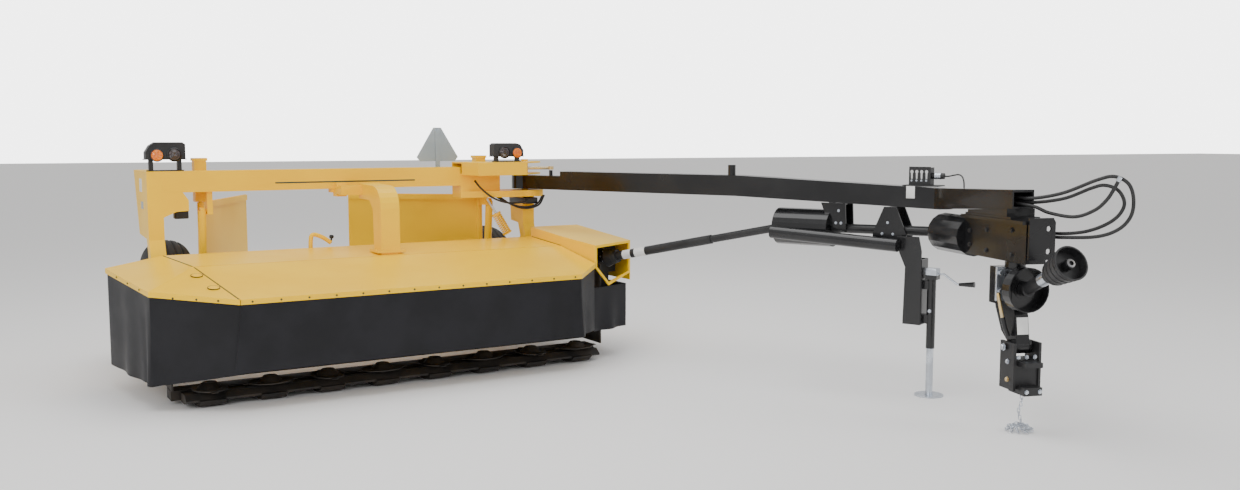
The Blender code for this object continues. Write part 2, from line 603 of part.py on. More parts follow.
def tongue_clevis(paint):
    """The fork at the beam's left end that holds the tongue: an upper box and a lower plate round a pin."""
    px, py = PIVOT
    back = BEAM_FRONT_Y + BEAM_DEPTH + 0.03
    nose_radius = 0.14
    nose = ring(nose_radius, (px, py), 12, -math.pi / 2, math.pi)
    upper = [(CLEVIS_INNER_X, back), (CLEVIS_INNER_X, BEAM_FRONT_Y - 0.02),
             (CLEVIS_INNER_X + 0.05, CLEVIS_FRONT_Y),
             (CLEVIS_WALL_END, CLEVIS_FRONT_Y)] + nose
    low, high = CLEVIS_UPPER
    wall = 0.012
    shapes = [plate(upper, wall, Matrix.Translation((0, 0, high - wall))),
              plate(upper, wall, Matrix.Translation((0, 0, low)))]
    front = plate([(CLEVIS_INNER_X + 0.04, CLEVIS_FRONT_Y), (CLEVIS_WALL_END, CLEVIS_FRONT_Y),
                   (CLEVIS_WALL_END, CLEVIS_FRONT_Y + wall), (CLEVIS_INNER_X + 0.06, CLEVIS_FRONT_Y + wall),
                   (CLEVIS_INNER_X + 0.012, BEAM_FRONT_Y - 0.02), (CLEVIS_INNER_X, BEAM_FRONT_Y - 0.02)],
                  high - low - 0.002, Matrix.Translation((0, 0, low + 0.001)))
    rear = box((CLEVIS_INNER_X, back - wall, low + 0.001), (px + 0.02, back - 0.0005, high - 0.001))
    lower_back = [(CLEVIS_INNER_X, back - 0.02), (CLEVIS_INNER_X, BEAM_FRONT_Y),
                  (1.10, BEAM_FRONT_Y - 0.06),
                  (1.28, 1.30)]
    lower = plate(lower_back + ring(0.165, (px, py), 14, -math.pi * 0.62, math.pi * 1.12),
                  CLEVIS_LOWER[1] - CLEVIS_LOWER[0], Matrix.Translation((0, 0, CLEVIS_LOWER[0])))
    web = box((CLEVIS_INNER_X, BEAM_FRONT_Y + 0.002, CLEVIS_LOWER[0] + 0.01),
              (1.27, back - 0.004, CLEVIS_UPPER[0] + 0.004))
    pin = rod((px, py, CLEVIS_LOWER[0] + 0.01), (px, py, high + 0.02), PIN_RADIUS, 16)
    lug = rod((1.0, 1.36, low + 0.005), (1.0, 1.36, high - 0.004), 0.014, 14)
    ear = box((ARM_X - 0.02, BEAM_FRONT_Y + 0.045, 1.215), (ARM_X + 0.02, BEAM_FRONT_Y + 0.125, 1.30))
    made = join(shapes[0], front, rear, shapes[1], web, lower, pin, lug, ear, rear_post(1))
    return finish(made, "tongue_clevis", paint)


def rear_post(sign):
    """A square post behind the beam that carries a windrow shield."""
    x = sign * POST_X
    half = POST_SIZE / 2
    back = BEAM_FRONT_Y + BEAM_DEPTH + (0.03 if sign > 0 else 0.0)
    post = box((x - half, POST_Y - half, SHIELD_TOP - 0.02), (x + half, POST_Y + half, POST_TOP))
    cap = box((x - half - 0.008, POST_Y - half - 0.004, POST_TOP - 0.01),
              (x + half + 0.008, POST_Y + half + 0.008, POST_TOP + 0.012))
    tie = box((x - half + 0.006, back - 0.008, 1.43), (x + half - 0.006, POST_Y - half + 0.01, 1.53))
    pin = rod((x, POST_Y, SHIELD_BOTTOM - 0.01), (x, POST_Y, SHIELD_TOP), 0.014, 14)
    return join(post, cap, tie, pin)


def windrow_shield(sign, name, paint):
    """A plate that hangs from a post's pin and gathers the crop behind the rolls."""
    x = sign * POST_X
    low, high = SHIELD_BOTTOM, SHIELD_TOP - 0.02 - CLEAR
    angle = SHIELD_ANGLES[sign]
    along = Vector((-sign * math.sin(angle), math.cos(angle), 0))
    frame = frame_at((x, POST_Y, 0), along) @ Matrix.Rotation(math.radians(90), 4, "X")
    outline = [(0.02, low), (SHIELD_LENGTH - 0.10, low), (SHIELD_LENGTH, low + 0.12), (SHIELD_LENGTH, high),
               (0.02, high)]
    panel = plate(outline, 0.005, frame @ Matrix.Translation((0, 0, -0.0025)))
    sleeve = rod((x, POST_Y, low), (x, POST_Y, high), 0.026, 16)
    stiff = plate([(0.03, high - 0.05), (SHIELD_LENGTH - 0.01, high - 0.05),
                   (SHIELD_LENGTH - 0.01, high - 0.004),
                   (0.03, high - 0.004)], 0.03, frame @ Matrix.Translation((0, 0, -0.015)))
    bore = rod((x, POST_Y, low - 0.1), (x, POST_Y, high + 0.1), 0.014 + PIN_CLEAR, 16)
    return finish(cut(join(panel, sleeve, stiff), bore), name, paint, (x, POST_Y, low))


def lamp(sign, name, x, y, plastic):
    """A twin lamp housing with a sloping outer end, on a bracket."""
    base = BEAM_TOP + 0.086 if sign < 0 else CLEVIS_UPPER[1] + 0.045
    high = 0.125 if sign < 0 else 0.112
    outer = sign
    half = 0.14
    outline = [(-half, 0), (half, 0), (half, 0.05), (half - 0.03, 0.10), (half - 0.07, high),
               (-half + 0.02, high),
               (-half, high - 0.015)]
    outline = [(outer * px, pz) for px, pz in outline]
    turn = Matrix.Rotation(math.radians(90), 4, "X")
    body = plate(outline, 0.10, Matrix.Translation((x, y + 0.05, base + 0.005)) @ turn)
    stand = box((x - 0.15, y - 0.04, base - 0.0), (x + 0.15, y + 0.04, base + 0.006))
    return join(body, stand), base


def lamps(plastic):
    made = []
    for sign, name, x, y, floor in ((-1, "right_lamp", -1.455, 1.50, BEAM_TOP),
                                    (1, "left_lamp", 1.305, 1.36, CLEVIS_UPPER[1])):
        body, base = lamp(sign, name, x, y, plastic)
        post = box((x + sign * 0.10 - 0.015, y - 0.02, floor + GAP),
                   (x + sign * 0.10 + 0.015, y + 0.02, base + 0.004))
        foot = box((x - 0.13, y - 0.02, floor + GAP), (x + 0.13, y + 0.02, floor + 0.008))
        inner = box((x - sign * 0.10 - 0.015, y - 0.02, floor + GAP),
                    (x - sign * 0.10 + 0.015, y + 0.02, base + 0.004))
        made.append(finish(join(body, post, inner, foot), name, plastic))
    return made


def slow_vehicle_sign(grey):
    """The plain back of the slow vehicle sign: a triangle with cut corners on its bracket."""
    y = BEAM_FRONT_Y + BEAM_DEPTH + 0.02
    low, high = 1.597, 1.885
    half = 0.19
    outline = [(-half, low + 0.035), (-half + 0.03, low), (half - 0.03, low), (half, low + 0.035),
               (0.035, high), (-0.035, high)]
    turn = Matrix.Rotation(math.radians(90), 4, "X")
    face = plate(outline, 0.003, Matrix.Translation((SIGN_X, y + 0.003, 0)) @ turn)
    strap = box((SIGN_X - 0.02, y - 0.006, 1.45), (SIGN_X + 0.02, y + 0.001, 1.86))
    foot = box((SIGN_X - 0.02, BEAM_FRONT_Y + BEAM_DEPTH + GAP, 1.45), (SIGN_X + 0.02, y, 1.50))
    return finish(join(face, strap, foot), "slow_vehicle_sign", grey)


def centre_link(paint):
    """The curved column from the hood's crease up and back to the beam."""
    width = 0.15
    x = 0.04
    outer, inner = [], []
    bend = 0.17
    top = 1.425
    for i in range(7):
        angle = math.pi / 2 * i / 6
        outer.append((0.80 + bend * (1 - math.cos(angle)), top - bend + bend * math.sin(angle)))
    side = [(0.80, hood_z(0.80) + GAP + 0.001)] + outer + [(1.30, 1.435), (1.30, 1.315), (1.06, 1.31),
                                                           (0.985, 1.24),
                                                           (0.965, hood_z(0.965) + GAP + 0.001)]
    column = plate(side, width, Matrix.Translation((x - width / 2, 0, 0)) @ TURN_YZ)
    arm = box((-0.20, 1.24, 1.345), (x + 0.03, 1.30, 1.42))
    tip = box((-0.20, 1.26, 1.35), (-0.12, BEAM_FRONT_Y - 0.07 - GAP, 1.41))
    base = box((x - 0.11, 0.785, hood_z(0.98) + GAP + 0.001), (x + 0.11, 0.98, hood_z(0.98) + 0.02))
    return finish(join(column, base, arm, tip), "centre_link", paint)


def flotation_spring(paint):
    """The flotation spring beside the left leg, as its outer cylinder, with its rod."""
    top, bottom = Vector(SPRING_TOP), Vector(SPRING_BOTTOM)
    middle = top.lerp(bottom, 0.42)
    coil = rod(middle, bottom, 0.042, 16)
    stem = rod(top, middle.lerp(bottom, 0.1), 0.010, 12)
    return finish(join(coil, stem), "flotation_spring", paint)


# ---------------------------------------------------------------- wheels

def wheel_arm(sign, name, paint):
    """The arm from the leg's cross tube back to the hub, with its stub axle and a cylinder lug."""
    y, z = ARM_PIVOT
    x0, x1 = sorted((sign * (ARM_X - ARM_WIDTH / 2), sign * (ARM_X + ARM_WIDTH / 2)))
    side = [(y - 0.05, z + 0.068), (y + 0.11, z + 0.068), (WHEEL_Y + 0.02, TYRE_RADIUS + 0.05),
            (WHEEL_Y + 0.05, TYRE_RADIUS), (WHEEL_Y + 0.02, TYRE_RADIUS - 0.05), (y + 0.11, z - 0.068),
            (y - 0.05, z - 0.068), (y - 0.068, z)]
    arm = plate(side, x1 - x0, Matrix.Translation((x0, 0, 0)) @ TURN_YZ)
    axle = rod((sign * (ARM_X), WHEEL_Y, TYRE_RADIUS), (sign * (WHEEL_X + 0.06), WHEEL_Y, TYRE_RADIUS),
               AXLE_RADIUS, 16)
    lug = box((sign * ARM_X - 0.012, 1.535, z + 0.05), (sign * ARM_X + 0.012, 1.595, z + 0.11))
    bore = rod((x0 - 0.05, y, z), (x1 + 0.05, y, z), ARM_TUBE + PIN_CLEAR, 24)
    return finish(cut(join(arm, axle, lug), bore), name, paint, (sign * ARM_X, y, z))


def rim(sign, name, paint):
    """A steel rim with its disc and hub."""
    half = 0.145
    profile = [(RIM_RADIUS, -half), (RIM_RADIUS, half), (RIM_RADIUS - 0.008, half),
               (RIM_RADIUS - 0.008, 0.02),
               (0.08, 0.012), (0.075, 0.05), (AXLE_RADIUS + PIN_CLEAR, 0.05), (AXLE_RADIUS + PIN_CLEAR,
                                                                               -0.07),
               (0.06, -0.07), (0.065, -0.01), (RIM_RADIUS - 0.008, 0.0), (RIM_RADIUS - 0.008, -half)]
    made = turned(profile, WHEEL_SIDES)
    turn = Matrix.Rotation(math.radians(90 * sign), 4, "Y")
    moved(made, Matrix.Translation((sign * WHEEL_X, WHEEL_Y, TYRE_RADIUS)) @ turn)
    return finish(made, name, paint, (sign * WHEEL_X, WHEEL_Y, TYRE_RADIUS))


def tyre(sign, name, rubber):
    """A ribbed implement tyre with a round crown."""
    half = TYRE_WIDTH / 2
    inner = RIM_RADIUS + GAP
    profile = [(inner, -0.13)]
    for i in range(9):
        angle = math.pi * i / 8
        across = -half * math.cos(angle)
        grow = math.sin(angle) ** 0.55
        profile.append((inner + 0.03 + (TYRE_RADIUS - inner - 0.03) * grow, across))
    profile.append((inner, 0.13))
    made = turned(profile, WHEEL_SIDES)
    turn = Matrix.Rotation(math.radians(90), 4, "Y")
    moved(made, Matrix.Translation((sign * WHEEL_X, WHEEL_Y, TYRE_RADIUS)) @ turn)
    return finish(made, name, rubber, (sign * WHEEL_X, WHEEL_Y, TYRE_RADIUS))


def lift_cylinder(sign, side, paint):
    """A lift cylinder in front of the post: its barrel hangs from the frame and its rod reaches the arm."""
    x = sign * (ARM_X + 0.052)
    top = Vector((x, *LIFT_TOP))
    bottom = Vector((x, *LIFT_BOTTOM))
    along = (bottom - top).normalized()
    barrel = rod(top, top + along * 0.46, 0.032, 16)
    eye = rod(top - Vector((0.016, 0, 0)), top + Vector((0.016, 0, 0)), 0.026, 16)
    stem = rod(top + along * 0.40, bottom, 0.016, 16)
    foot = rod(bottom - Vector((0.014, 0, 0)), bottom + Vector((0.014, 0, 0)), 0.022, 16)
    pin = rod(top, (sign * (ARM_X + 0.02 + GAP), top.y, top.z), 0.012, 14)
    return finish(join(barrel, eye, stem, foot, pin), f"{side}_lift_cylinder", paint, top)


# ---------------------------------------------------------------- tongue
def tongue_point(along, side=0.0, z=0.0):
    """A point a distance along the tongue from its pivot, and to its left side."""
    direction = Vector((math.sin(TONGUE_ANGLE), -math.cos(TONGUE_ANGLE), 0))
    left = Vector((math.cos(TONGUE_ANGLE), math.sin(TONGUE_ANGLE), 0))
    return Vector((*PIVOT, 0)) + direction * along + left * side + Vector((0, 0, z))


def nose_point(along, side=0.0, z=0.0):
    """A point a distance along the nose from the tongue's elbow, and to its left side."""
    direction = Vector((math.sin(NOSE_ANGLE), -math.cos(NOSE_ANGLE), 0))
    left = Vector((math.cos(NOSE_ANGLE), math.sin(NOSE_ANGLE), 0))
    return tongue_point(TONGUE_LENGTH) + direction * along + left * side + Vector((0, 0, z))


def along_tongue(start, side=0.0):
    """A matrix for plates cut in the (along, up) plane of the tongue, thick to its right."""
    direction = tongue_point(1.0) - tongue_point(0.0)
    return frame_at(tongue_point(start, side), direction) @ Matrix.Rotation(math.radians(90), 4, "X")


def along_nose(start, side=0.0):
    direction = nose_point(1.0) - nose_point(0.0)
    return frame_at(nose_point(start, side), direction) @ Matrix.Rotation(math.radians(90), 4, "X")


def tongue_beam(paint):
    """The box-section tongue, from its pivot head to its open front end."""
    half = TONGUE_WIDTH / 2
    start = 0.46
    bottom = TONGUE_TOP - TONGUE_HEIGHT
    side = [(start, TONGUE_TOP), (TONGUE_BEND, TONGUE_TOP), (TONGUE_LENGTH + 0.02, ELBOW_TOP),
            (TONGUE_LENGTH + 0.02, ELBOW_TOP - ELBOW_HEIGHT), (TONGUE_BEND, bottom), (start, bottom)]
    beam = plate(side, TONGUE_WIDTH, along_tongue(0, half))
    head = plate(ring(0.115, (0, 0), 14, math.pi / 2, math.pi) + [(0.05, -half - 0.01),
                                                                  (start + 0.02, -half + 0.001),
                                                                  (start + 0.02, half - 0.001), (0.05,
                                                                                                 half + 0.01)],
                 HEAD_TOP - bottom - 0.001, frame_at(tongue_point(0, 0, bottom + 0.0005),
                                                     tongue_point(1) - tongue_point(0)))
    nose_low = NOSE_TOP - NOSE_HEIGHT
    nose_side = [(-0.03, ELBOW_TOP), (NOSE_LENGTH, NOSE_TOP), (NOSE_LENGTH, nose_low),
                 (-0.03, ELBOW_TOP - ELBOW_HEIGHT)]
    nose = plate(nose_side, TONGUE_WIDTH - 0.004, along_nose(0, half - 0.002))
    elbow = rod(tongue_point(TONGUE_LENGTH, 0, ELBOW_TOP - ELBOW_HEIGHT + 0.0008),
                tongue_point(TONGUE_LENGTH, 0, ELBOW_TOP - 0.0008), half, 24)
    made = join(beam, elbow, nose, head)
    inside = plate([(NOSE_LENGTH - RECESS, NOSE_TOP - 0.022), (NOSE_LENGTH + 0.1, NOSE_TOP - 0.012),
                    (NOSE_LENGTH + 0.1, nose_low + 0.012), (NOSE_LENGTH - RECESS, nose_low + 0.012)],
                   TONGUE_WIDTH - 0.024, along_nose(0, half - 0.012))
    bore = rod(tongue_point(0, 0, 1.2), tongue_point(0, 0, 1.6), PIN_RADIUS + PIN_CLEAR, 16)
    made = cut(made, inside, bore)
    boss = rod(tongue_point(0.30, 0, HEAD_TOP - 0.02), tongue_point(0.30, 0, SWING_Z - 0.014 - CLEAR),
               0.016, 14)
    stub = rod(tongue_point(2.13, -0.04, TONGUE_TOP - 0.02), tongue_point(2.13, -0.04, TONGUE_TOP + 0.08),
               0.03, 16)
    return finish(join(made, boss, stub), "tongue_beam", paint, (*PIVOT, bottom))


def tongue_matrix():
    return frame_at(tongue_point(0), tongue_point(1) - tongue_point(0))


def nose_matrix():
    return frame_at(nose_point(0), nose_point(1) - nose_point(0))


def nose_bottom(along):
    """Height of the nose's underside at a distance from the elbow."""
    low = ELBOW_TOP - ELBOW_HEIGHT
    return low + (NOSE_TOP - NOSE_HEIGHT - low) * (along + 0.03) / (NOSE_LENGTH + 0.03)


def driveline_shield(paint):
    """The round shield under the tongue where the two drive shafts meet, with its bracket."""
    start, end = SHIELD_SPAN
    a, b = tongue_point(start, 0, SHIELD_Z), tongue_point(end, 0, SHIELD_Z)
    outer = rod(a, b, SHIELD_OUTER, 24)
    direction = (b - a).normalized()
    inner = rod(a - direction * 0.05, b - direction * 0.012, SHIELD_OUTER - 0.006, 24)
    port = rod(b - direction * 0.06, b + direction * 0.06, SHAFT_RADIUS + CLEAR, 16)
    shield = cut(outer, inner, port)
    under = tongue_bottom(end + 0.12) - GAP - 0.001
    flank = [(end - 0.07, under), (end + 0.12, under), (end + 0.13, SHIELD_Z - 0.02),
             (end + 0.02, SHIELD_Z + 0.015),
             (end - 0.006, SHIELD_Z + 0.03)]
    shapes = [plate(flank, 0.012, along_tongue(0, side)) for side in (0.072, -0.060)]
    turn = tongue_matrix()
    shapes.append(moved(box((end + 0.02, -0.066, under - 0.014), (end + 0.10, 0.066, under - 0.002)), turn))
    return finish(join(shield, *shapes), "driveline_shield", paint, tongue_point(start, 0, SHIELD_Z))


def tongue_bottom(along):
    """Height of the tongue's underside at a distance from the pivot."""
    bottom = TONGUE_TOP - TONGUE_HEIGHT
    if along <= TONGUE_BEND:
        return bottom
    share = (along - TONGUE_BEND) / (TONGUE_LENGTH + 0.02 - TONGUE_BEND)
    return bottom + (ELBOW_TOP - ELBOW_HEIGHT - bottom) * share


def front_hanger(paint):
    """The front bracket with the tube beside the drive shaft, which joins it to the round shield's bracket."""
    start, end = FRONT_BRACKET
    under = tongue_bottom(end) - GAP - 0.001
    flank = [(start + 0.08, under), (end - 0.07, under), (end + 0.01, SHIELD_Z - 0.02),
             (end - 0.02, SHIELD_Z - 0.05),
             (start, SHIELD_Z - 0.05), (start, SHIELD_Z - 0.01)]
    shapes = [plate(flank, 0.012, along_tongue(0, side)) for side in (0.085, -0.073)]
    turn = tongue_matrix()
    for along, z in ((start + 0.12, under - 0.006), (start + 0.04, SHIELD_Z - SHAFT_RADIUS - 0.011),
                     (end - 0.04, SHIELD_Z - SHAFT_RADIUS - 0.011)):
        shapes.append(moved(box((along - 0.02, -0.08, z - 0.006), (along + 0.02, 0.08, z + 0.006)), turn))
    a = tongue_point(SHIELD_SPAN[0] + 0.03, SIDE_TUBE, 1.10)
    b = tongue_point(end - 0.01, SIDE_TUBE, SHIELD_Z - 0.082)
    shapes.append(rod(a, b, 0.046, 24))
    lug = box((start + 0.03, SIDE_TUBE, SHIELD_Z - 0.09), (end - 0.05, -0.0735, SHIELD_Z - SHAFT_RADIUS - 0.011))
    shapes.append(moved(lug, turn))
    return finish(join(*shapes), "front_hanger", paint, tongue_point(start, 0, SHIELD_Z))


def front_shaft(paint):
    """The guarded shaft from the round shield forward to the hitch gearbox."""
    a = tongue_point(SHIELD_SPAN[1] - 0.10, 0, SHIELD_Z)
    b = nose_point(0.075, 0, HEAD_AXIS_Z)
    direction = (b - a).normalized()
    guard = rod(a, b, SHAFT_RADIUS, 16)
    bell = rod(a - direction * 0.03, a + direction * 0.05, 0.075, 18, 0.04)
    return finish(join(guard, bell), "front_shaft", paint, a)


def hose_holder(steel):
    """The plate with four keyholes on the tongue's top, and the plug that is parked in it."""
    start, end = TONGUE_LENGTH - 0.229, TONGUE_LENGTH - 0.074
    turn = tongue_matrix()
    share = (start - TONGUE_BEND) / (TONGUE_LENGTH - TONGUE_BEND)
    top = TONGUE_TOP + (ELBOW_TOP - TONGUE_TOP) * share + 0.003
    base = moved(box((start - 0.03, -0.07, top), (end + 0.07, 0.07, top + 0.008)), turn)
    outline = [(start, top + 0.004), (end, top + 0.004), (end, top + 0.135), (start, top + 0.135)]
    holes = []
    for i in range(4):
        x = start + 0.02 + i * 0.035
        holes.append([(x - 0.006, top + 0.05), (x + 0.006, top + 0.05)] + ring(0.0125, (x, top + 0.10), 8,
                                                                               -0.9, math.pi + 1.8))
    wall = plate(outline, 0.006, along_tongue(0, -0.02), holes=holes)
    cheek = moved(box((end - 0.009, -0.024, top + 0.004), (end - 0.001, 0.05, top + 0.13)), turn)
    plug = moved(rod((end - 0.004, 0.012, PLUG_END[2]), PLUG_END, 0.021, 16), turn)
    return finish(join(base, wall, cheek, plug), "hose_holder", steel)


# ---------------------------------------------------------------- jack
def jack_mast(paint):
    """The channel that hangs from the front bracket and carries the jack."""
    turn = tongue_matrix()
    along, side = JACK_POINT
    front = along - JACK_OUTER - 0.02
    inner = -0.085 - GAP
    arm = [(FRONT_BRACKET[1] - 0.04, SHIELD_Z - 0.02), (FRONT_BRACKET[1] + 0.12, SHIELD_Z - 0.02),
           (front - 0.004, SHIELD_Z - 0.12), (front - 0.004, 0.50), (front - 0.13, 0.50), (front - 0.12,
                                                                                           0.90),
           (FRONT_BRACKET[1] - 0.04, SHIELD_Z - 0.09)]
    near = plate(arm, 0.008, along_tongue(0, side - 0.06))
    far_arm = [(front - 0.12, 0.96), (front - 0.004, 0.96), (front - 0.004, 0.50), (front - 0.13, 0.50)]
    far = plate(far_arm, 0.008, along_tongue(0, side + 0.06))
    web = moved(box((front - 0.008, side - 0.064, 0.502), (front, side + 0.058, 0.958)), turn)
    tie = moved(box((FRONT_BRACKET[1] - 0.035, side - 0.064, SHIELD_Z - 0.045),
                    (FRONT_BRACKET[1] - 0.005, inner, SHIELD_Z - 0.03)), turn)
    shapes = [near, web, far, tie]
    return finish(join(*shapes), "jack_mast", paint)


def jack_tube(paint):
    """The jack's outer tube with its mounts, gear head and crank."""
    along, side = JACK_POINT
    turn = tongue_matrix()
    web = along - JACK_OUTER - 0.02 + GAP
    shapes = [rod(tongue_point(along, side, JACK_BOTTOM), tongue_point(along, side, JACK_TOP), JACK_OUTER,
                  16),
              moved(box((along - 0.036, side - 0.036, JACK_TOP - 0.03),
                        (along + 0.045, side + 0.036, JACK_TOP + 0.045)), turn)]
    for z in (JACK_TOP - 0.07, 0.54):
        shapes.append(moved(box((web, side - 0.03, z - 0.03), (along - 0.012, side + 0.03, z + 0.03)),
                            turn))
    bore = rod(tongue_point(along, side, JACK_BOTTOM - 0.05), tongue_point(along, side, JACK_TOP - 0.05),
               JACK_INNER + PIN_CLEAR, 16)
    made = cut(join(*shapes), bore)
    crank = tube([tongue_point(along + 0.03, side, JACK_TOP + 0.01),
                  tongue_point(along + 0.085, side, JACK_TOP + 0.01),
                  tongue_point(along + 0.18, side - 0.01, JACK_TOP - 0.05),
                  tongue_point(along + 0.21, side - 0.01, JACK_TOP - 0.052)], 0.0065, 2)
    grip = rod(tongue_point(along + 0.195, side - 0.01, JACK_TOP - 0.052),
               tongue_point(along + 0.30, side - 0.01, JACK_TOP - 0.045), 0.011, 12, 0.02)
    return finish(join(made, crank, grip), "jack_tube", paint)


def jack_leg(zinc):
    """The jack's inner leg with its foot plate."""
    along, side = JACK_POINT
    leg = rod(tongue_point(along, side, 0.003), tongue_point(along, side, JACK_BOTTOM + 0.20), JACK_INNER,
              16)
    foot = plate(ring(FOOT_HALF, (0, 0), 18), FOOT_THICK, Matrix.Translation(tongue_point(along, side, 0)))
    return finish(join(leg, foot), "jack_leg", zinc, tongue_point(along, side, 0))


# ---------------------------------------------------------------- hitch


def hitch_head(paint):
    """The box under the tongue's nose that holds the upper gearbox, with its shaft cover and front plate."""
    start, end = HEAD_BOX
    turn = nose_matrix()
    body = moved(box((start, -HEAD_HALF, HEAD_LOW), (end, HEAD_HALF, 1.295)), turn)
    cover = rod(nose_point(start + 0.01, 0, HEAD_AXIS_Z), nose_point(0.055, 0, HEAD_AXIS_Z), COVER_RADIUS,
                16)
    inside = rod(nose_point(start - 0.02, 0, HEAD_AXIS_Z), nose_point(0.0, 0, HEAD_AXIS_Z),
                 COVER_RADIUS - 0.006, 16)
    cover = cut(cover, inside)
    flange = moved(box((start + 0.02, -0.11, 1.285), (end + 0.02, 0.11, 1.305)), turn)
    top = NOSE_TOP - NOSE_HEIGHT - 0.021
    pad = moved(box((start + 0.06, -0.10, 1.30), (NOSE_LENGTH + 0.03, 0.10, 1.32)), turn)
    outline = [(-0.075, 1.075), (0.085, 1.075), (0.10, 1.09), (0.10, 1.30), (0.085, 1.325), (-0.075, 1.325)]
    holes = [ring(0.017, (0.055, z), 12) for z in (1.125, 1.26)]
    face = plate(outline, 0.012, frame_at(nose_point(end + 0.028), nose_point(0, 1) - nose_point(0))
                 @ Matrix.Rotation(math.radians(90), 4, "X"), holes=holes)
    neck = moved(box((end - 0.02, -0.04, 1.09), (end + 0.034, 0.04, 1.28)), turn)
    spigot = rod(nose_point(SWIVEL_ALONG, 0, HEAD_LOW + 0.015), nose_point(SWIVEL_ALONG, 0, 1.0), 0.05, 24)
    return finish(join(body, cover, flange, pad, neck, face, spigot), "hitch_head", paint)


def nose_pad(paint):
    """The clamp plate between the nose and the hitch head."""
    turn = nose_matrix()
    low = 1.32 + GAP
    side = [(HEAD_BOX[0] + 0.08, low), (NOSE_LENGTH - 0.02, low),
            (NOSE_LENGTH - 0.02, nose_bottom(NOSE_LENGTH) - GAP - 0.001),
            (HEAD_BOX[0] + 0.08, nose_bottom(HEAD_BOX[0] + 0.08) - GAP - 0.001)]
    return finish(plate(side, 0.19, along_nose(0, 0.095)), "nose_pad", paint)


def swivel_gearbox(paint):
    """The gearbox that turns under the hitch head, with the tapered drawbar neck and its round shield."""
    axis = nose_point(SWIVEL_ALONG, 0, 0)
    turn = frame_at(axis, nose_point(1) - nose_point(0))
    body = moved(box((-0.16, -0.075, 0.77), (0.09, 0.075, 1.0)), turn)
    collar = rod(axis + Vector((0, 0, 0.99)), axis + Vector((0, 0, HEAD_LOW - CLEAR)), 0.062, 16)
    pin_x, pin_z = CROSS_PIN
    neck_side = [(-0.15, 0.80), (0.05, 0.80), (0.085, 0.72), (pin_x + 0.042, pin_z + 0.01),
                 (pin_x - 0.042, pin_z + 0.01),
                 (-0.06, CLEVIS_Z[1] + 0.03), (-0.13, 0.74)]
    neck = plate(neck_side, 0.09,
                 turn @ Matrix.Rotation(math.radians(90), 4, "X") @ Matrix.Translation((0, 0, -0.045)))
    shield = moved(rod((0.08, 0, 0.879), (0.155, 0, 0.881), 0.138, 24), turn)
    hollow = moved(rod((0.086, 0, 0.8795), (0.18, 0, 0.881), 0.131, 24), turn)
    shield = cut(shield, hollow)
    flange = moved(rod((0.06, 0, 0.879), (0.094, 0, 0.8795), 0.06, 20), turn)
    eye = moved(rod((pin_x, -0.065, pin_z), (pin_x, 0.065, pin_z), EYE_RADIUS, 20), turn)
    made = join(body, collar, neck, shield, flange, eye)
    made = cut(made, moved(rod((pin_x, -0.2, pin_z), (pin_x, 0.2, pin_z), CROSS_PIN_RADIUS + PIN_CLEAR,
                               16), turn))
    bore = rod(axis + Vector((0, 0, 0.97)), axis + Vector((0, 0, 1.2)), 0.05 + PIN_CLEAR, 24)
    return finish(cut(made, bore), "swivel_gearbox", paint, axis)


def pto_shaft(plastic):
    """The half shaft towards the tractor, with its two guard bells."""
    turn = frame_at(nose_point(SWIVEL_ALONG), nose_point(1) - nose_point(0))
    start = Vector((PTO_START[0], 0, PTO_START[1]))
    end = Vector((PTO_END[0], 0, PTO_END[1]))
    along = (end - start).normalized()
    joint = rod(start - Vector((0.036, 0, 0)), start + Vector((0.02, 0, 0)), 0.045, 16)
    shaft = rod(start, end - along * 0.05, 0.036, 20, 0.042)
    bell = rod(end - along * 0.12, end + along * 0.06, 0.075, 20, 0.104)
    inside = rod(end + along * 0.0, end + along * 0.08, 0.088, 20, 0.099)
    bell = cut(bell, inside)
    yoke = rod(end - along * 0.02, end + along * 0.05, 0.03, 16)
    made = join(joint, shaft, bell, yoke)
    return finish(moved(made, turn), "pto_shaft", plastic, nose_point(SWIVEL_ALONG))


def drawbar_clevis(steel):
    """The jaw for a drawbar: cheeks and a cross pin in the neck's eye, a block, and two jaw plates."""
    low, high = CLEVIS_Z
    front = FACE_ALONG
    turn = frame_at(nose_point(SWIVEL_ALONG), nose_point(1) - nose_point(0))
    x, z = CROSS_PIN
    pin = rod((x, -0.105, z), (x, 0.105, z), CROSS_PIN_RADIUS, 16)
    cheeks = [box((front - 0.15, y - 0.008, low + 0.02), (front, y + 0.008, z + 0.035)) for y in (-0.085,
                                                                                                  0.085)]
    block = box((front - 0.135, -0.08, low + 0.03), (front - 0.01, 0.08, z - EYE_RADIUS - 0.025))
    jaw_top = box((front - 0.03, -0.06, low + JAW_FLOOR + JAW_GAP),
                  (front + 0.07, 0.06, low + JAW_FLOOR + JAW_GAP + 0.03))
    jaw_low = box((front - 0.10, -0.06, low), (front + 0.07, 0.06, low + JAW_FLOOR))
    made = join(block, *cheeks, pin, jaw_top, jaw_low)
    return finish(moved(made, turn), "drawbar_clevis", steel, turn @ Vector((x, 0, z)))


def safety_chain(steel):
    """The chain that hangs from the clevis and lies in a heap on the ground, as its outer shape."""
    turn = frame_at(nose_point(SWIVEL_ALONG), nose_point(1) - nose_point(0))
    low = CLEVIS_Z[0]
    x = FACE_ALONG - 0.06
    hang = rod((x, 0, low - GAP - 0.001), (x, 0, 0.02), 0.010, 12)
    heap = rod((x, 0, 0.002), (x, 0, 0.045), 0.085, 24, 0.055)
    return finish(moved(join(heap, hang), turn), "safety_chain", steel, nose_point(SWIVEL_ALONG, 0, low))


# ---------------------------------------------------------------- driveline and swing cylinder


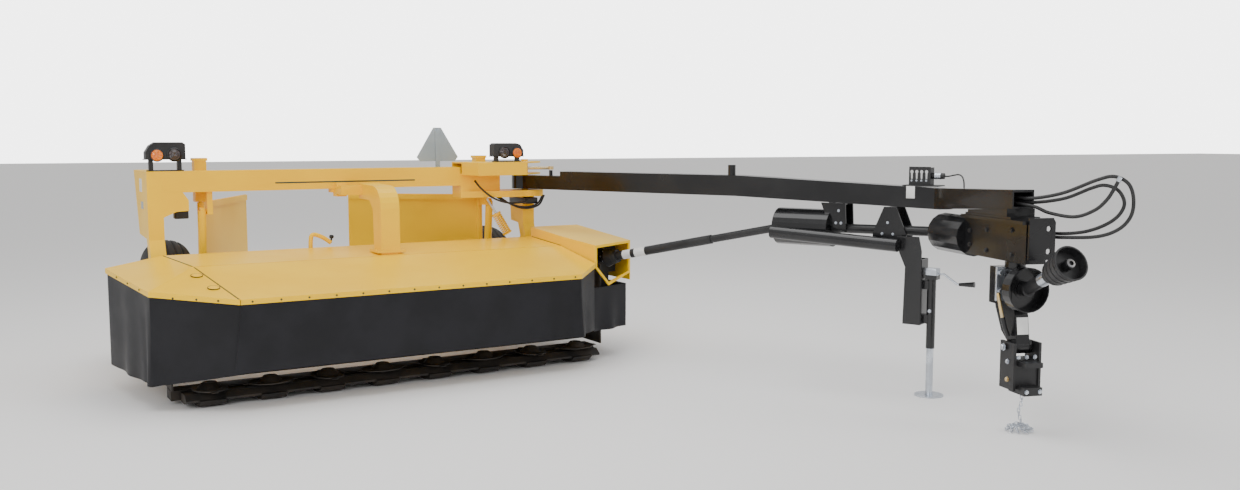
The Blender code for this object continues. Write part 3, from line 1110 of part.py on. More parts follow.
def header_gearbox(iron):
    """The gearbox under the raised cover, with its input guard."""
    x, y, z = DRIVE_JOINT
    case = box((x - 0.11, y + 0.14, z - 0.14), (x + 0.13, y + 0.42, z + 0.12))
    snout = rod((x, y + 0.16, z), (x, y + 0.085, z), 0.06, 24)
    base = box((END_PLATE_X + GAP, y + 0.20, z - 0.30), (x + 0.10, y + 0.38, z - 0.12))
    return finish(join(case, snout, base), "header_gearbox", iron, DRIVE_JOINT)


def driveline(plastic):
    """The telescoping driveline from the header's gearbox into the round shield under the tongue."""
    start = Vector(DRIVE_JOINT)
    mouth = tongue_point(SHIELD_SPAN[0], -0.01, 1.122)
    along = (mouth - start).normalized()
    end = mouth + along * DRIVE_OVERLAP
    bell = rod(start - along * 0.03, start + along * 0.07, 0.078, 24, 0.05)
    outer = rod(start + along * 0.04, start.lerp(mouth, 0.62), 0.036, 24)
    inner = rod(start.lerp(mouth, 0.60), end, 0.030, 24)
    return finish(join(outer, bell, inner), "driveline", plastic, start)


def swing_cylinder(paint, steel):
    """The cylinder inside the clevis box that swings the tongue."""
    base = Vector((*SWING_BASE, SWING_Z))
    eye = tongue_point(0.30, 0, SWING_Z)
    along = (eye - base).normalized()
    barrel = rod(base + along * 0.02, base + along * 0.40, 0.026, 16)
    lug = rod(base - Vector((0, 0, 0.02)), base + Vector((0, 0, 0.02)), 0.026, 16)
    barrel = join(barrel, lug)
    barrel = cut(barrel, rod(base - Vector((0, 0, 0.1)), base + Vector((0, 0, 0.1)), 0.014 + PIN_CLEAR, 14),
                 rod(base + along * 0.05, base + along * 0.5, 0.0125 + PIN_CLEAR, 16))
    barrel = finish(barrel, "swing_barrel", paint, base)
    stem = rod(base + along * 0.30, eye - along * 0.012, 0.0125, 16)
    ring_eye = rod(eye - Vector((0, 0, 0.014)), eye + Vector((0, 0, 0.014)), 0.024, 18)
    ram = join(stem, ring_eye)
    ram = finish(ram, "swing_rod", steel, eye)
    return barrel, ram


def smooth_route(points, spacing):
    """Even points along a Catmull-Rom curve through the given ones."""
    points = [Vector(point) for point in points]
    padded = [points[0] * 2 - points[1]] + points + [points[-1] * 2 - points[-2]]
    dense = []
    for i in range(1, len(padded) - 2):
        p0, p1, p2, p3 = padded[i - 1:i + 3]
        for k in range(24):
            t = k / 24
            dense.append(0.5 * (2 * p1 + (p2 - p0) * t + (2 * p0 - 5 * p1 + 4 * p2 - p3) * t * t
                                + (3 * p1 - p0 - 3 * p2 + p3) * t ** 3))
    dense.append(points[-1])
    lengths = [0.0]
    for a, b in zip(dense, dense[1:]):
        lengths.append(lengths[-1] + (b - a).length)
    count = max(3, round(lengths[-1] / spacing))
    even, k = [], 0
    for i in range(count + 1):
        want = lengths[-1] * i / count
        while k < len(dense) - 2 and lengths[k + 1] < want:
            k += 1
        span = max(lengths[k + 1] - lengths[k], 1e-9)
        even.append(dense[k].lerp(dense[k + 1], min((want - lengths[k]) / span, 1.0)))
    return even


def hose_point(along, side, z):
    """A point in front of the nose, along the hoses' heading."""
    heading = Vector((*HOSE_HEADING, 0)).normalized()
    left = Vector((-heading.y, heading.x, 0))
    return nose_point(NOSE_LENGTH) + heading * along + left * side + Vector((0, 0, z))


def hose(name, rubber, side, start_z, route, end=None):
    """A hydraulic hose out of the nose; with an end, along and up, it loops back to the hitch head's side."""
    points = [nose_point(NOSE_LENGTH - RECESS + 0.0008, side, start_z),
              nose_point(NOSE_LENGTH - 0.10, side, start_z)]
    points += [hose_point(along, side, z) for along, z in route]
    if end is not None:
        points.append(nose_point(end[0], HEAD_HALF + 0.045, end[1]))
        points.append(nose_point(end[0], HEAD_HALF + 0.0008, end[1]))
    made = tube(smooth_route(points, 2.4 * HOSE_RADIUS * 2), HOSE_RADIUS, 2)
    return finish(made, name, rubber, points[0])


def lamp_cable(rubber):
    """The lamp cable from its parked plug to the grommet on top of the nose."""
    plug = PLUG_END
    top = ELBOW_TOP + (NOSE_TOP - ELBOW_TOP) * (0.275 + 0.03) / (NOSE_LENGTH + 0.03)
    points = [tongue_point(plug[0] + 0.0008, plug[1], plug[2]),
              tongue_point(plug[0] + 0.03, plug[1], plug[2]),
              nose_point(0.12, 0.05, plug[2] + 0.014), nose_point(0.20, 0.035, plug[2] + 0.004),
              nose_point(0.255, 0.018, top + 0.045), nose_point(0.275, 0.01, top + 0.003)]
    made = tube(smooth_route(points, 2.6 * CABLE_RADIUS * 2), CABLE_RADIUS, 2)
    return finish(made, "lamp_cable", rubber, points[0])


def centre_on_ground():
    """Shift every part so that the origin is under the middle of the machine."""
    low = Vector((1e9, 1e9, 1e9))
    high = -low
    bpy.context.view_layer.update()
    for part in PARTS.objects:
        if part.name in CORDS:
            continue
        for corner in part.data.vertices:
            point = part.matrix_world @ corner.co
            low = Vector(map(min, low, point))
            high = Vector(map(max, high, point))
    shift = Vector((-(low.x + high.x) / 2, -(low.y + high.y) / 2, -low.z))
    for part in PARTS.objects:
        part.location += shift


def build():
    for existing in list(bpy.data.objects):
        bpy.data.objects.remove(existing)
    bpy.context.scene.collection.children.link(PARTS)
    yellow = material("yellow_paint", (0.95, 0.55, 0.02), 0.35)
    black = material("black_paint", (0.012, 0.012, 0.013), 0.28)
    rubber = material("black_rubber", (0.02, 0.02, 0.022), 0.75)
    plastic = material("black_plastic", (0.018, 0.018, 0.02), 0.5)
    steel = material("bare_steel", (0.35, 0.35, 0.36), 0.4, 1.0)
    zinc = material("zinc_plate", (0.55, 0.58, 0.62), 0.35, 1.0)
    grey = material("sign_back", (0.62, 0.66, 0.70), 0.45, 0.6)
    iron = material("gearbox_iron", (0.03, 0.03, 0.032), 0.5, 0.3)

    front_cover(yellow)
    top_panel(yellow)
    right_end_cover(yellow)
    gearbox_cover(yellow)
    front_curtain(rubber)
    right_curtain(rubber)
    left_curtain(rubber)
    header_frame(yellow)
    cutterbar(steel)
    for number in range(1, DISC_COUNT + 1):
        disc(number, steel)
    roll("lower_roll", LOWER_ROLL, rubber)
    roll("upper_roll", UPPER_ROLL, rubber)
    header_gearbox(iron)
    frame_beam(yellow)
    right_leg(yellow)
    left_leg(yellow)
    tongue_clevis(yellow)
    windrow_shield(-1, "right_windrow_shield", yellow)
    windrow_shield(1, "left_windrow_shield", yellow)
    lamps(plastic)
    slow_vehicle_sign(grey)
    centre_link(yellow)
    flotation_spring(yellow)
    for sign, side in ((-1, "right"), (1, "left")):
        wheel_arm(sign, f"{side}_wheel_arm", yellow)
        rim(sign, f"{side}_rim", yellow)
        tyre(sign, f"{side}_tyre", rubber)
        lift_cylinder(sign, side, yellow)
    tongue_beam(black)
    driveline_shield(black)
    front_hanger(black)
    front_shaft(plastic)
    hose_holder(steel)
    jack_mast(black)
    jack_tube(black)
    jack_leg(zinc)
    nose_pad(black)
    hitch_head(black)
    swivel_gearbox(iron)
    pto_shaft(plastic)
    drawbar_clevis(black)
    safety_chain(zinc)
    driveline(plastic)
    swing_cylinder(black, steel)
    hose("hose_outer", rubber, 0.0, 1.440, OUTER_ROUTE, (1.055, 1.205))
    hose("hose_inner", rubber, 0.030, 1.416, INNER_ROUTE, (1.020, 1.225))
    hose("hose_lower", rubber, -0.030, 1.404, LOWER_ROUTE)
    lamp_cable(rubber)
    centre_on_ground()


build()
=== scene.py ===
# %% [markdown]
# # A disc mower conditioner, finished from its solid model
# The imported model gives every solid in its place, with its joints. This lesson adds what a solid model leaves
# out: paint, rubber, bolts, ribs, hoses, labels and light. Each cell makes one thing and says what it made.

# %% Load the frame
import math

import bpy
import numpy as np
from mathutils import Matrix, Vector


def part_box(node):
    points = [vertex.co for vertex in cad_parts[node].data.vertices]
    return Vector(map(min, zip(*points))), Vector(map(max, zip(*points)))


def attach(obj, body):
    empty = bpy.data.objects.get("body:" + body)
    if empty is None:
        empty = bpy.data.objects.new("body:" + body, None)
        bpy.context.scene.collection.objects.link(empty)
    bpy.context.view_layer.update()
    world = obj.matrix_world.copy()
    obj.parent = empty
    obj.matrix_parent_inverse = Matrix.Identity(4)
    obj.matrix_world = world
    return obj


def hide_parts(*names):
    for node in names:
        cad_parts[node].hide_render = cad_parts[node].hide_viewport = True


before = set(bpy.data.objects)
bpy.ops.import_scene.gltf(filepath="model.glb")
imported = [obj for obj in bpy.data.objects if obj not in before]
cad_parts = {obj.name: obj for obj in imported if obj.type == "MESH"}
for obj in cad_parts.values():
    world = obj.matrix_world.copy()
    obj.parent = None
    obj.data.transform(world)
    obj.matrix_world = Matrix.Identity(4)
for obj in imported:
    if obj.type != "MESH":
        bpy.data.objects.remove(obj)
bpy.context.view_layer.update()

# %% [markdown]
# ## Places
# The machine was drawn with x = 0 at the middle of the cutterbar and y = 0 at the hood's lip. `at` turns such
# a place into the frame's own. `on_tongue` and `on_nose` measure along the tongue and along its short nose.
# `on_swivel` measures along the nose too, from the hitch's upright pin.

# %% Places on the machine
bar_low, bar_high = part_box("cutterbar")
SHIFT = np.array([(bar_low[0] + bar_high[0]) / 2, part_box("front_cover")[0][1], 0.0])
TONGUE_PIVOT = (1.535, 1.47, 0)
TONGUE_ANGLE, TONGUE_LENGTH = math.radians(22.9), 3.774
NOSE_ANGLE, NOSE_LENGTH = math.radians(-19), 0.98
SWIVEL_ALONG = 0.92
SHARP_EDGE = math.radians(38)


def at(x, y, z):
    """A place measured from the cutterbar's middle and the hood's lip, moved into the frame."""
    return np.array([x, y, z], float) + SHIFT


def along_line(start, angle, along, side, z):
    """start + along * (sin a, -cos a) + side * (cos a, sin a), at height z."""
    ahead = np.array([math.sin(angle), -math.cos(angle), 0.0])
    left = np.array([math.cos(angle), math.sin(angle), 0.0])
    return np.array(start, float) + ahead * along + left * side + np.array([0, 0, z])


def on_tongue(along, side, z):
    """A place along the tongue from its pivot, and to the left of its middle line."""
    return along_line(at(*TONGUE_PIVOT), TONGUE_ANGLE, along, side, z)


def on_nose(along, side, z):
    """A place along the nose from the tongue's elbow."""
    return along_line(on_tongue(TONGUE_LENGTH, 0, 0), NOSE_ANGLE, along, side, z)


def on_swivel(ahead, side, z):
    """A place ahead of the hitch's upright pin."""
    return on_nose(SWIVEL_ALONG + ahead, side, z)


def axes(x_axis, z_axis=(0, 0, 1)):
    """A turning matrix whose first column is x_axis and whose third leans to z_axis."""
    x_axis = np.array(x_axis, float) / np.linalg.norm(x_axis)
    z_axis = np.array(z_axis, float) - x_axis * np.dot(x_axis, z_axis)
    z_axis /= np.linalg.norm(z_axis)
    return np.column_stack([x_axis, np.cross(z_axis, x_axis), z_axis])


TONGUE_TURN = axes(on_tongue(1, 0, 0) - on_tongue(0, 0, 0))
NOSE_TURN = axes(on_nose(1, 0, 0) - on_nose(0, 0, 0))
print("elbow of the tongue at", np.round(on_tongue(TONGUE_LENGTH, 0, 1.45), 3))

# %% [markdown]
# ## Shader arithmetic
# A small class wraps a node socket, so that a pattern reads as a chain of steps. `ramp` is a soft step by a
# Map Range node, `mix` goes between two colours through a Mix node, and any other node comes from `node`.


# %% Shader arithmetic
class Value:
    """A node's output socket and the tree that it is in."""

    def __init__(self, tree, socket):
        self.tree, self.socket = tree, socket

    def node(self, kind, settings=None, inputs=None, output=0):
        """A new node of this kind. Its inputs are plain values or other Values."""
        made = self.tree.nodes.new(kind)
        for name, value in (settings or {}).items():
            setattr(made, name, value)
        for name, value in (inputs or {}).items():
            if isinstance(value, Value):
                self.tree.links.new(value.socket, made.inputs[name])
            else:
                made.inputs[name].default_value = value
        return Value(self.tree, made.outputs[output])

    def ramp(self, low, high, out_low=0.0, out_high=1.0):
        """A soft step from out_low to out_high as the value goes from low to high."""
        return self.node("ShaderNodeMapRange", {"interpolation_type": "SMOOTHSTEP"},
                         {"Value": self, "From Min": low, "From Max": high, "To Min": out_low,
                          "To Max": out_high})

    def mix(self, colour_a, colour_b):
        """The first colour where the value is 0 and the second where it is 1."""
        return self.node("ShaderNodeMix", {"data_type": "RGBA"},
                         {0: self, 6: (*colour_a, 1.0), 7: (*colour_b, 1.0)}, 2)


def new_material(name, roughness, metallic=0.0, coat=0.0, shine=0.5):
    """An even material, with its shader and its object coordinates."""
    made = bpy.data.materials.new(name)
    made.use_nodes = True
    shader = made.node_tree.nodes["Principled BSDF"]
    shader.inputs["Roughness"].default_value = roughness
    shader.inputs["Metallic"].default_value = metallic
    shader.inputs["Coat Weight"].default_value = coat
    shader.inputs["Specular IOR Level"].default_value = shine
    shader.inputs["Coat Roughness"].default_value = 0.08
    place = Value(made.node_tree, made.node_tree.nodes.new("ShaderNodeTexCoord").outputs["Object"])
    return made, shader, place


def feed(made, shader, name, value):
    """Lets a Value drive one input of the material's shader."""
    made.node_tree.links.new(value.socket, shader.inputs[name])


def coated(name, colour, second, roughness, metallic=0.0, coat=0.0, grain=6.0, bump=0.0, shine=0.5):
    """Paint, rubber or metal: two close tones in soft clouds, a little duller where the second tone shows."""
    made, shader, place = new_material(name, roughness, metallic, coat, shine)
    clouds = place.node("ShaderNodeTexNoise", None, {"Vector": place, "Scale": grain, "Detail": 3.0})
    tone = clouds.ramp(0.35, 0.65).mix(colour, second)
    feed(made, shader, "Base Color", tone)
    feed(made, shader, "Roughness", clouds.ramp(0.3, 0.7, max(roughness - 0.05, 0.05), roughness + 0.07))
    if bump:
        fine = place.node("ShaderNodeTexNoise", None, {"Vector": place, "Scale": 220.0, "Detail": 2.0})
        feed(made, shader, "Normal", place.node("ShaderNodeBump", None, {"Strength": bump, "Distance": 0.001,
                                                                         "Height": fine}))
    return made


# %% [markdown]
# ## Finishes
# Two tones of each finish, close together: fresh paint isn't one flat colour, and rubber even less so.

# %% Finishes
yellow = coated("yellow paint", (1.0, 0.60, 0.0), (0.95, 0.55, 0.0), 0.36, coat=0.08, grain=1.6, shine=0.25)
black = coated("black gloss paint", (0.006, 0.006, 0.007), (0.012, 0.012, 0.013), 0.22, coat=0.25,
               grain=2.0, shine=0.4)
dull_black = coated("dull black paint", (0.010, 0.010, 0.011), (0.018, 0.018, 0.019), 0.45, grain=4.0,
                    bump=0.1)
curtain_rubber = coated("curtain rubber", (0.008, 0.008, 0.010), (0.013, 0.013, 0.016), 0.5, grain=3.0,
                        bump=0.15, shine=0.25)
tyre_rubber = coated("tyre rubber", (0.014, 0.014, 0.014), (0.028, 0.027, 0.026), 0.75, grain=9.0, bump=0.3)
hose_rubber = coated("hose rubber", (0.012, 0.012, 0.013), (0.020, 0.020, 0.020), 0.5, grain=20.0)
plastic = coated("black plastic", (0.010, 0.010, 0.011), (0.018, 0.018, 0.019), 0.42, grain=8.0, bump=0.15)
steel = coated("bare steel", (0.30, 0.30, 0.31), (0.20, 0.19, 0.18), 0.38, metallic=1.0, grain=12.0)
dark_steel = coated("dark steel", (0.030, 0.028, 0.026), (0.055, 0.045, 0.036), 0.6, metallic=0.5, grain=7.0)
zinc = coated("zinc plate", (0.62, 0.66, 0.72), (0.50, 0.53, 0.58), 0.30, metallic=0.9, grain=14.0)
gold_zinc = coated("yellow zinc plate", (0.80, 0.56, 0.22), (0.62, 0.50, 0.30), 0.32, metallic=0.9,
                   grain=16.0)
sign_grey = coated("sign back", (0.36, 0.42, 0.47), (0.30, 0.36, 0.41), 0.5, metallic=0.2, grain=5.0)
label_white = coated("blank label", (0.80, 0.80, 0.78), (0.70, 0.70, 0.69), 0.4, grain=10.0)
stripe_green = coated("dark stripe", (0.010, 0.045, 0.040), (0.014, 0.055, 0.050), 0.35, grain=10.0)
amber = coated("amber lens", (0.90, 0.24, 0.0), (0.70, 0.14, 0.0), 0.15, coat=0.5, grain=60.0)
dark_lens = coated("dark lens", (0.030, 0.012, 0.012), (0.015, 0.010, 0.010), 0.12, coat=0.8, grain=60.0)

NODE_FINISH = {
    "front_cover": yellow, "top_panel": yellow, "right_end_cover": yellow, "gearbox_cover": yellow,
    "front_curtain": curtain_rubber, "right_curtain": curtain_rubber, "left_curtain": curtain_rubber,
    "header_frame": dark_steel, "cutterbar": dark_steel, "lower_roll": tyre_rubber, "upper_roll": tyre_rubber,
    "header_gearbox": dull_black, "flotation_spring": yellow, "right_lamp": plastic, "left_lamp": plastic,
    "slow_vehicle_sign": sign_grey, "front_shaft": plastic, "driveline": plastic, "pto_shaft": plastic,
    "hose_holder": dull_black, "jack_leg": zinc, "jack_tube": black, "jack_mast": black,
    "swing_rod": gold_zinc, "swing_barrel": dull_black, "safety_chain": zinc, "right_tyre": tyre_rubber,
    "left_tyre": tyre_rubber, "right_rim": yellow, "left_rim": yellow, "drawbar_clevis": dull_black,
    "right_lift_cylinder": yellow, "left_lift_cylinder": yellow}
BLACK_NODES = ("tongue_beam", "driveline_shield", "front_hanger", "nose_pad", "hitch_head", "swivel_gearbox")
for node_name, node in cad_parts.items():
    if node_name in BLACK_NODES:
        finish = black
    else:
        finish = NODE_FINISH.get(node_name, dark_steel if node_name.startswith("disc_") else yellow)
    node.data.materials.clear()
    node.data.materials.append(finish)
print("finishes on", len(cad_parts), "solids")

# %% [markdown]
# ## Surfaces from formulas
# Every added shape is a grid of points worked out by numpy and written to a mesh at once: a turned profile,
# a tube along a line, or a rounded block.


# %% Surface helpers
def add_piece(name, mesh, finish, body):
    """An object that shows the mesh, smooth between its sharp edges, and rides on a body of the machine."""
    mesh.materials.append(finish)
    mesh.shade_smooth()
    mesh.set_sharp_from_angle(angle=SHARP_EDGE)
    made = bpy.data.objects.new(name.replace(" ", "_"), mesh)
    bpy.context.scene.collection.objects.link(made)
    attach(made, body)
    return made


def write_mesh(name, points, faces, finish, body):
    """A mesh object from points (n, 3) and quads (m, 4), riding on a body of the machine."""
    mesh = bpy.data.meshes.new(name)
    mesh.vertices.add(len(points))
    mesh.vertices.foreach_set("co", np.asarray(points, np.float32).ravel())
    mesh.loops.add(faces.size)
    mesh.loops.foreach_set("vertex_index", faces.astype(np.int32).ravel())
    mesh.polygons.add(len(faces))
    mesh.polygons.foreach_set("loop_start", np.arange(0, faces.size, 4, dtype=np.int32))
    mesh.update(calc_edges=True)
    mesh.validate()
    return add_piece(name, mesh, finish, body)


def quads(rows, columns, closed_rows=False, closed_columns=False):
    """Quads of a grid of rows x columns points, joined round where closed."""
    r = np.arange(rows if closed_rows else rows - 1)
    c = np.arange(columns if closed_columns else columns - 1)
    r, c = np.meshgrid(r, c, indexing="ij")
    r, c = r.ravel(), c.ravel()
    r2, c2 = (r + 1) % rows, (c + 1) % columns
    return np.stack([r * columns + c, r * columns + c2, r2 * columns + c2, r2 * columns + c], axis=1)


def turned(name, profile, sides, finish, body, place=(0, 0, 0), axis=(0, 0, 1)):
    """A profile of (radius, height) turned about an axis: (r cos t, r sin t, h)."""
    profile = np.asarray(profile, float)
    t = np.linspace(0, math.tau, sides, endpoint=False)
    ring = np.stack([np.cos(t), np.sin(t)], axis=1)
    points = np.empty((len(profile), sides, 3))
    points[..., :2] = profile[:, None, :1] * ring[None]
    points[..., 2] = profile[:, None, 1]
    axis = np.array(axis, float) / np.linalg.norm(axis)
    aside = np.array([1.0, 0, 0]) if abs(axis[0]) < 0.9 else np.array([0, 1.0, 0])
    x_axis = np.cross(aside, axis)
    x_axis /= np.linalg.norm(x_axis)
    turn = np.column_stack([x_axis, np.cross(axis, x_axis), axis])
    points = points.reshape(-1, 3) @ turn.T + np.asarray(place, float)
    return write_mesh(name, points, quads(len(profile), sides, closed_columns=True), finish, body)


def tube(name, path, radius, finish, body, sides=14):
    """A round tube along a path, its rings square to the path and carried along without twist."""
    path = np.asarray(path, float)
    along = np.gradient(path, axis=0)
    along /= np.linalg.norm(along, axis=1)[:, None]
    normal = np.cross(along[0], [0.3, 0.2, 0.93])
    frames = []
    for direction in along:
        normal = normal - direction * np.dot(normal, direction)
        normal /= np.linalg.norm(normal)
        frames.append(normal)
    n = np.array(frames)
    b = np.cross(along, n)
    t = np.linspace(0, math.tau, sides, endpoint=False)
    radius = np.broadcast_to(radius, len(path))
    rings = path[:, None] + radius[:, None, None] * (np.cos(t)[None, :, None] * n[:, None]
                                                     + np.sin(t)[None, :, None] * b[:, None])
    rings = np.concatenate([np.repeat(path[:1, None], sides, axis=1), rings,
                            np.repeat(path[-1:, None], sides, axis=1)])
    return write_mesh(name, rings.reshape(-1, 3), quads(len(rings), sides, closed_columns=True), finish, body)


def block(name, centre, size, finish, body, turn=None, radius=0.003):
    """A rounded block: a sphere's points, each moved out to its own corner of the block."""
    u = np.radians([-90, -89.9, -60, -30, -0.1, 0.1, 30, 60, 89.9, 90])
    v = np.radians([0.1, 30, 60, 89.9, 90.1, 120, 150, 179.9, 180.1, 210, 240, 269.9, 270.1, 300, 330, 359.9])
    rows, columns = len(u), len(v)
    u, v = np.meshgrid(u, v, indexing="ij")
    ball = np.stack([np.cos(u) * np.cos(v), np.cos(u) * np.sin(v), np.sin(u)], axis=-1)
    radius = min(radius, min(size) / 2.01)
    core = np.sign(ball) * (np.array(size) / 2 - radius)
    core[0, :, :2] = core[1, :, :2]
    core[-1, :, :2] = core[-2, :, :2]
    points = (core + ball * radius).reshape(-1, 3)
    bottom_middle = points[:columns].mean(axis=0, keepdims=True)
    top_middle = points[-columns:].mean(axis=0, keepdims=True)
    points = np.concatenate([points, bottom_middle, top_middle])
    count = rows * columns
    here = np.arange(columns)
    after = (here + 1) % columns
    low = np.stack([np.full(columns, count), after, here], axis=1)
    high = np.stack([np.full(columns, count + 1), count - columns + here, count - columns + after], axis=1)
    turn = np.eye(3) if turn is None else turn
    points = points @ turn.T + np.asarray(centre, float)
    mesh = bpy.data.meshes.new(name)
    mesh.from_pydata(points.tolist(), [],
                     quads(rows, columns, closed_columns=True).tolist() + low.tolist() + high.tolist())
    return add_piece(name, mesh, finish, body)


def bolt(name, place, axis, finish, body, size=0.009):
    """A hexagon head with a washer under it."""
    washer = [(0, 0), (size * 1.35, 0), (size * 1.35, size * 0.18), (size, size * 0.18)]
    head = [(size, size * 0.18), (size, size * 0.75), (size * 0.86, size * 0.9), (0, size * 0.9)]
    return turned(name, washer + head, 6, finish, body, place, axis)


def smooth_route(points, spacing):
    """Even points along a Catmull-Rom curve: 0.5 (2b + (c-a)t + (2a-5b+4c-d)t^2 + (3b-a-3c+d)t^3)."""
    p = np.asarray(points, float)
    p = np.vstack([2 * p[0] - p[1], p, 2 * p[-1] - p[-2]])
    t = (np.arange(24) / 24)[:, None]
    a, b, c, d = p[:-3], p[1:-2], p[2:-1], p[3:]
    dense = 0.5 * (2 * b[:, None] + (c - a)[:, None] * t + (2 * a - 5 * b + 4 * c - d)[:, None] * t ** 2
                   + (3 * b - a - 3 * c + d)[:, None] * t ** 3)
    dense = np.vstack([dense.reshape(-1, 3), p[-2]])
    length = np.concatenate([[0], np.cumsum(np.linalg.norm(np.diff(dense, axis=0), axis=1))])
    even = np.linspace(0, length[-1], max(3, round(length[-1] / spacing)) + 1)
    return np.stack([np.interp(even, length, dense[:, k]) for k in range(3)], axis=1), float(length[-1])


# %% [markdown]
# ## Curtains
# Rubber sheets hang from the hood's edge. Each follows a plan path, and its lower part waves a little, more
# at the ends. They are about 5 mm thick: front face, hem, back face and top closed into one skin.


# %% Curtains
COLUMNS, ROWS, HALF_THICK = 220, 18, 0.0024
LEAN_REACH = 0.12


def hood_z(y):
    """Height of the hood's top: a slope to y = 0.75 and almost level behind it."""
    return 0.75 + 0.2 * y if y <= 0.75 else 0.90 + 0.035 * (y - 0.75) / 0.55


def curtain(name, node, body, path, tops, bottoms, waves, lean=0.0):
    """A sheet with columns along the path s and rows down its depth.

    It stands out by wave(s) * depth^1.5, where wave(s) is the sum over the waves of
    size * e^(-((s - middle) / width)^2) * cos((s - middle) / pitch). Its first edge leans out along the path
    by lean * depth * e^(-s / reach).
    """
    path = np.array(path, float)
    step = np.linalg.norm(np.diff(path, axis=0), axis=1)
    length = np.concatenate([[0], np.cumsum(step)])
    s = np.linspace(0, length[-1], COLUMNS)
    plan = np.stack([np.interp(s, length, path[:, k]) for k in range(2)], axis=1)
    top, bottom = np.interp(s, length, tops), np.interp(s, length, bottoms)
    ahead = np.gradient(plan, axis=0)
    ahead = np.stack([np.convolve(np.pad(ahead[:, k], 4, "edge"), np.ones(9) / 9, "valid")
                      for k in range(2)], axis=1)
    ahead /= np.linalg.norm(ahead, axis=1)[:, None]
    out = np.stack([ahead[:, 1], -ahead[:, 0]], axis=1)
    wave = sum(size * np.exp(-((s - middle) / width) ** 2) * np.cos((s - middle) / pitch)
               for middle, width, pitch, size in waves)
    depth = np.linspace(0, 1, ROWS)
    rows = []
    for side, levels in ((HALF_THICK, depth), (-HALF_THICK, depth[::-1])):
        for level in levels:
            waved = (wave * level ** 1.5 + side)[:, None] * out
            leant = (lean * level * np.exp(-s / LEAN_REACH))[:, None] * ahead
            rows.append(np.column_stack([plan + (waved - leant), top + (bottom - top) * level]))
    rows = np.array(rows) + SHIFT
    points = rows.transpose(1, 0, 2)
    middle = (points + points[:, ::-1]) / 2
    points = np.concatenate([middle[:1], points, middle[-1:]])
    around = 2 * ROWS
    faces = quads(COLUMNS + 2, around, closed_columns=True)
    row, column = faces // around, faces % around
    end_row = (row == 0) | (row == COLUMNS + 1)
    column = np.where(end_row & (column >= ROWS), around - 1 - column, column)
    made = write_mesh(name, points.reshape(-1, 3), row * around + column, curtain_rubber, body)
    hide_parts(node)
    return made


curtain("front curtain", "front_curtain", "front_lid",
        [(-1.268, 0.0115), (1.274, 0.0115), (1.519, 0.226)], [0.73, 0.73, 0.776], [0.26, 0.26, 0.26],
        [(-0.1, 0.5, 0.22, 0.005), (2.56, 0.16, 0.045, 0.026), (1.5, 0.6, 0.25, 0.006)], 0.055)
curtain("right curtain", "right_curtain", "machine",
        [(-1.905, 1.286), (-1.905, 1.258), (-1.775, 0.327), (-1.262, 0.030)], [0.846, 0.846, 0.781, 0.733],
        [0.17, 0.17, 0.17, 0.248],
        [(0.50, 0.28, 0.075, 0.016), (0.93, 0.11, 0.035, 0.022), (1.30, 0.2, 0.09, 0.006)])
curtain("left curtain", "left_curtain", "machine",
        [(1.556, 0.292), (1.945, 0.428), (1.945, 1.295)], [0.588, 0.588, 0.588], [0.232, 0.232, 0.232],
        [(0.20, 0.16, 0.045, 0.022), (0.9, 0.4, 0.12, 0.010)])

# %% [markdown]
# ## Tyres
# An implement tyre: ribs round the tread, cross lugs on the shoulders and a bead against the rim.


# %% Tyres
WHEEL_X, WHEEL_Y, TYRE_RADIUS = 1.385, 2.02, 0.4925
SHOULDER, LUGS = 0.135, 45


def tyre(name, node, body, sign):
    """Turned: radius(w) = crown minus grooves, with lugs(t) on the shoulders where |w| is large."""
    inner, crown, half = 0.206, TYRE_RADIUS, 0.178
    angle = np.linspace(0.02, math.pi - 0.02, 97)
    across = -half * np.cos(angle)
    radius = inner + 0.03 + (crown - inner - 0.03) * np.sin(angle) ** 0.55
    tread = np.abs(across) < SHOULDER
    groove = sum(np.exp(-((across - middle) / 0.0065) ** 4) for middle in (-0.084, -0.028, 0.028, 0.084))
    radius = radius - 0.010 * np.minimum(groove, 1) * tread
    across = np.concatenate([[-0.128, -0.131], across, [0.131, 0.128]])
    radius = np.concatenate([[inner, inner + 0.012], radius, [inner + 0.012, inner]])
    sides = 180
    t = np.linspace(0, math.tau, sides, endpoint=False)
    shoulder = np.exp(-((np.abs(across) - SHOULDER) / 0.028) ** 4)[:, None]
    lug = (np.sin(t * LUGS)[None] > -0.1) * 1.0
    r = radius[:, None] - 0.007 * shoulder * (1 - lug)
    points = np.stack([np.broadcast_to(across[:, None], r.shape), r * np.sin(t)[None], r * np.cos(t)[None]],
                      axis=-1)
    centre = at(sign * WHEEL_X, WHEEL_Y, TYRE_RADIUS)
    faces = quads(len(across), sides, closed_rows=True, closed_columns=True)[:, ::-1]
    made = write_mesh(name, points.reshape(-1, 3) + centre, faces, tyre_rubber, body)
    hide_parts(node)
    for i in range(6):
        turn = math.tau * i / 6
        place = centre + np.array([sign * 0.020, 0.055 * math.sin(turn), 0.055 * math.cos(turn)])
        bolt(f"{name} nut {i + 1}", place, (sign, 0, 0), zinc, body, 0.010)
    return made


tyre("right tyre tread", "right_tyre", "right_wheel", -1)
tyre("left tyre tread", "left_tyre", "left_wheel", 1)
print("two tyres with", 2 * LUGS, "shoulder lugs each")

# %% [markdown]
# ## Hoses and the lamp cable
# Three hydraulic hoses leave the hollow front of the nose: two loop back to the hitch head, and one ends in a
# free coupling. The cable runs from its parked plug to the nose.

# %% Hoses and cable
HEADING = np.array([0.35, -0.937, 0]) / math.hypot(0.35, 0.937)
HEAD_LEFT = np.array([-HEADING[1], HEADING[0], 0])
HOSE_RADIUS, CABLE_RADIUS = 0.0105, 0.005


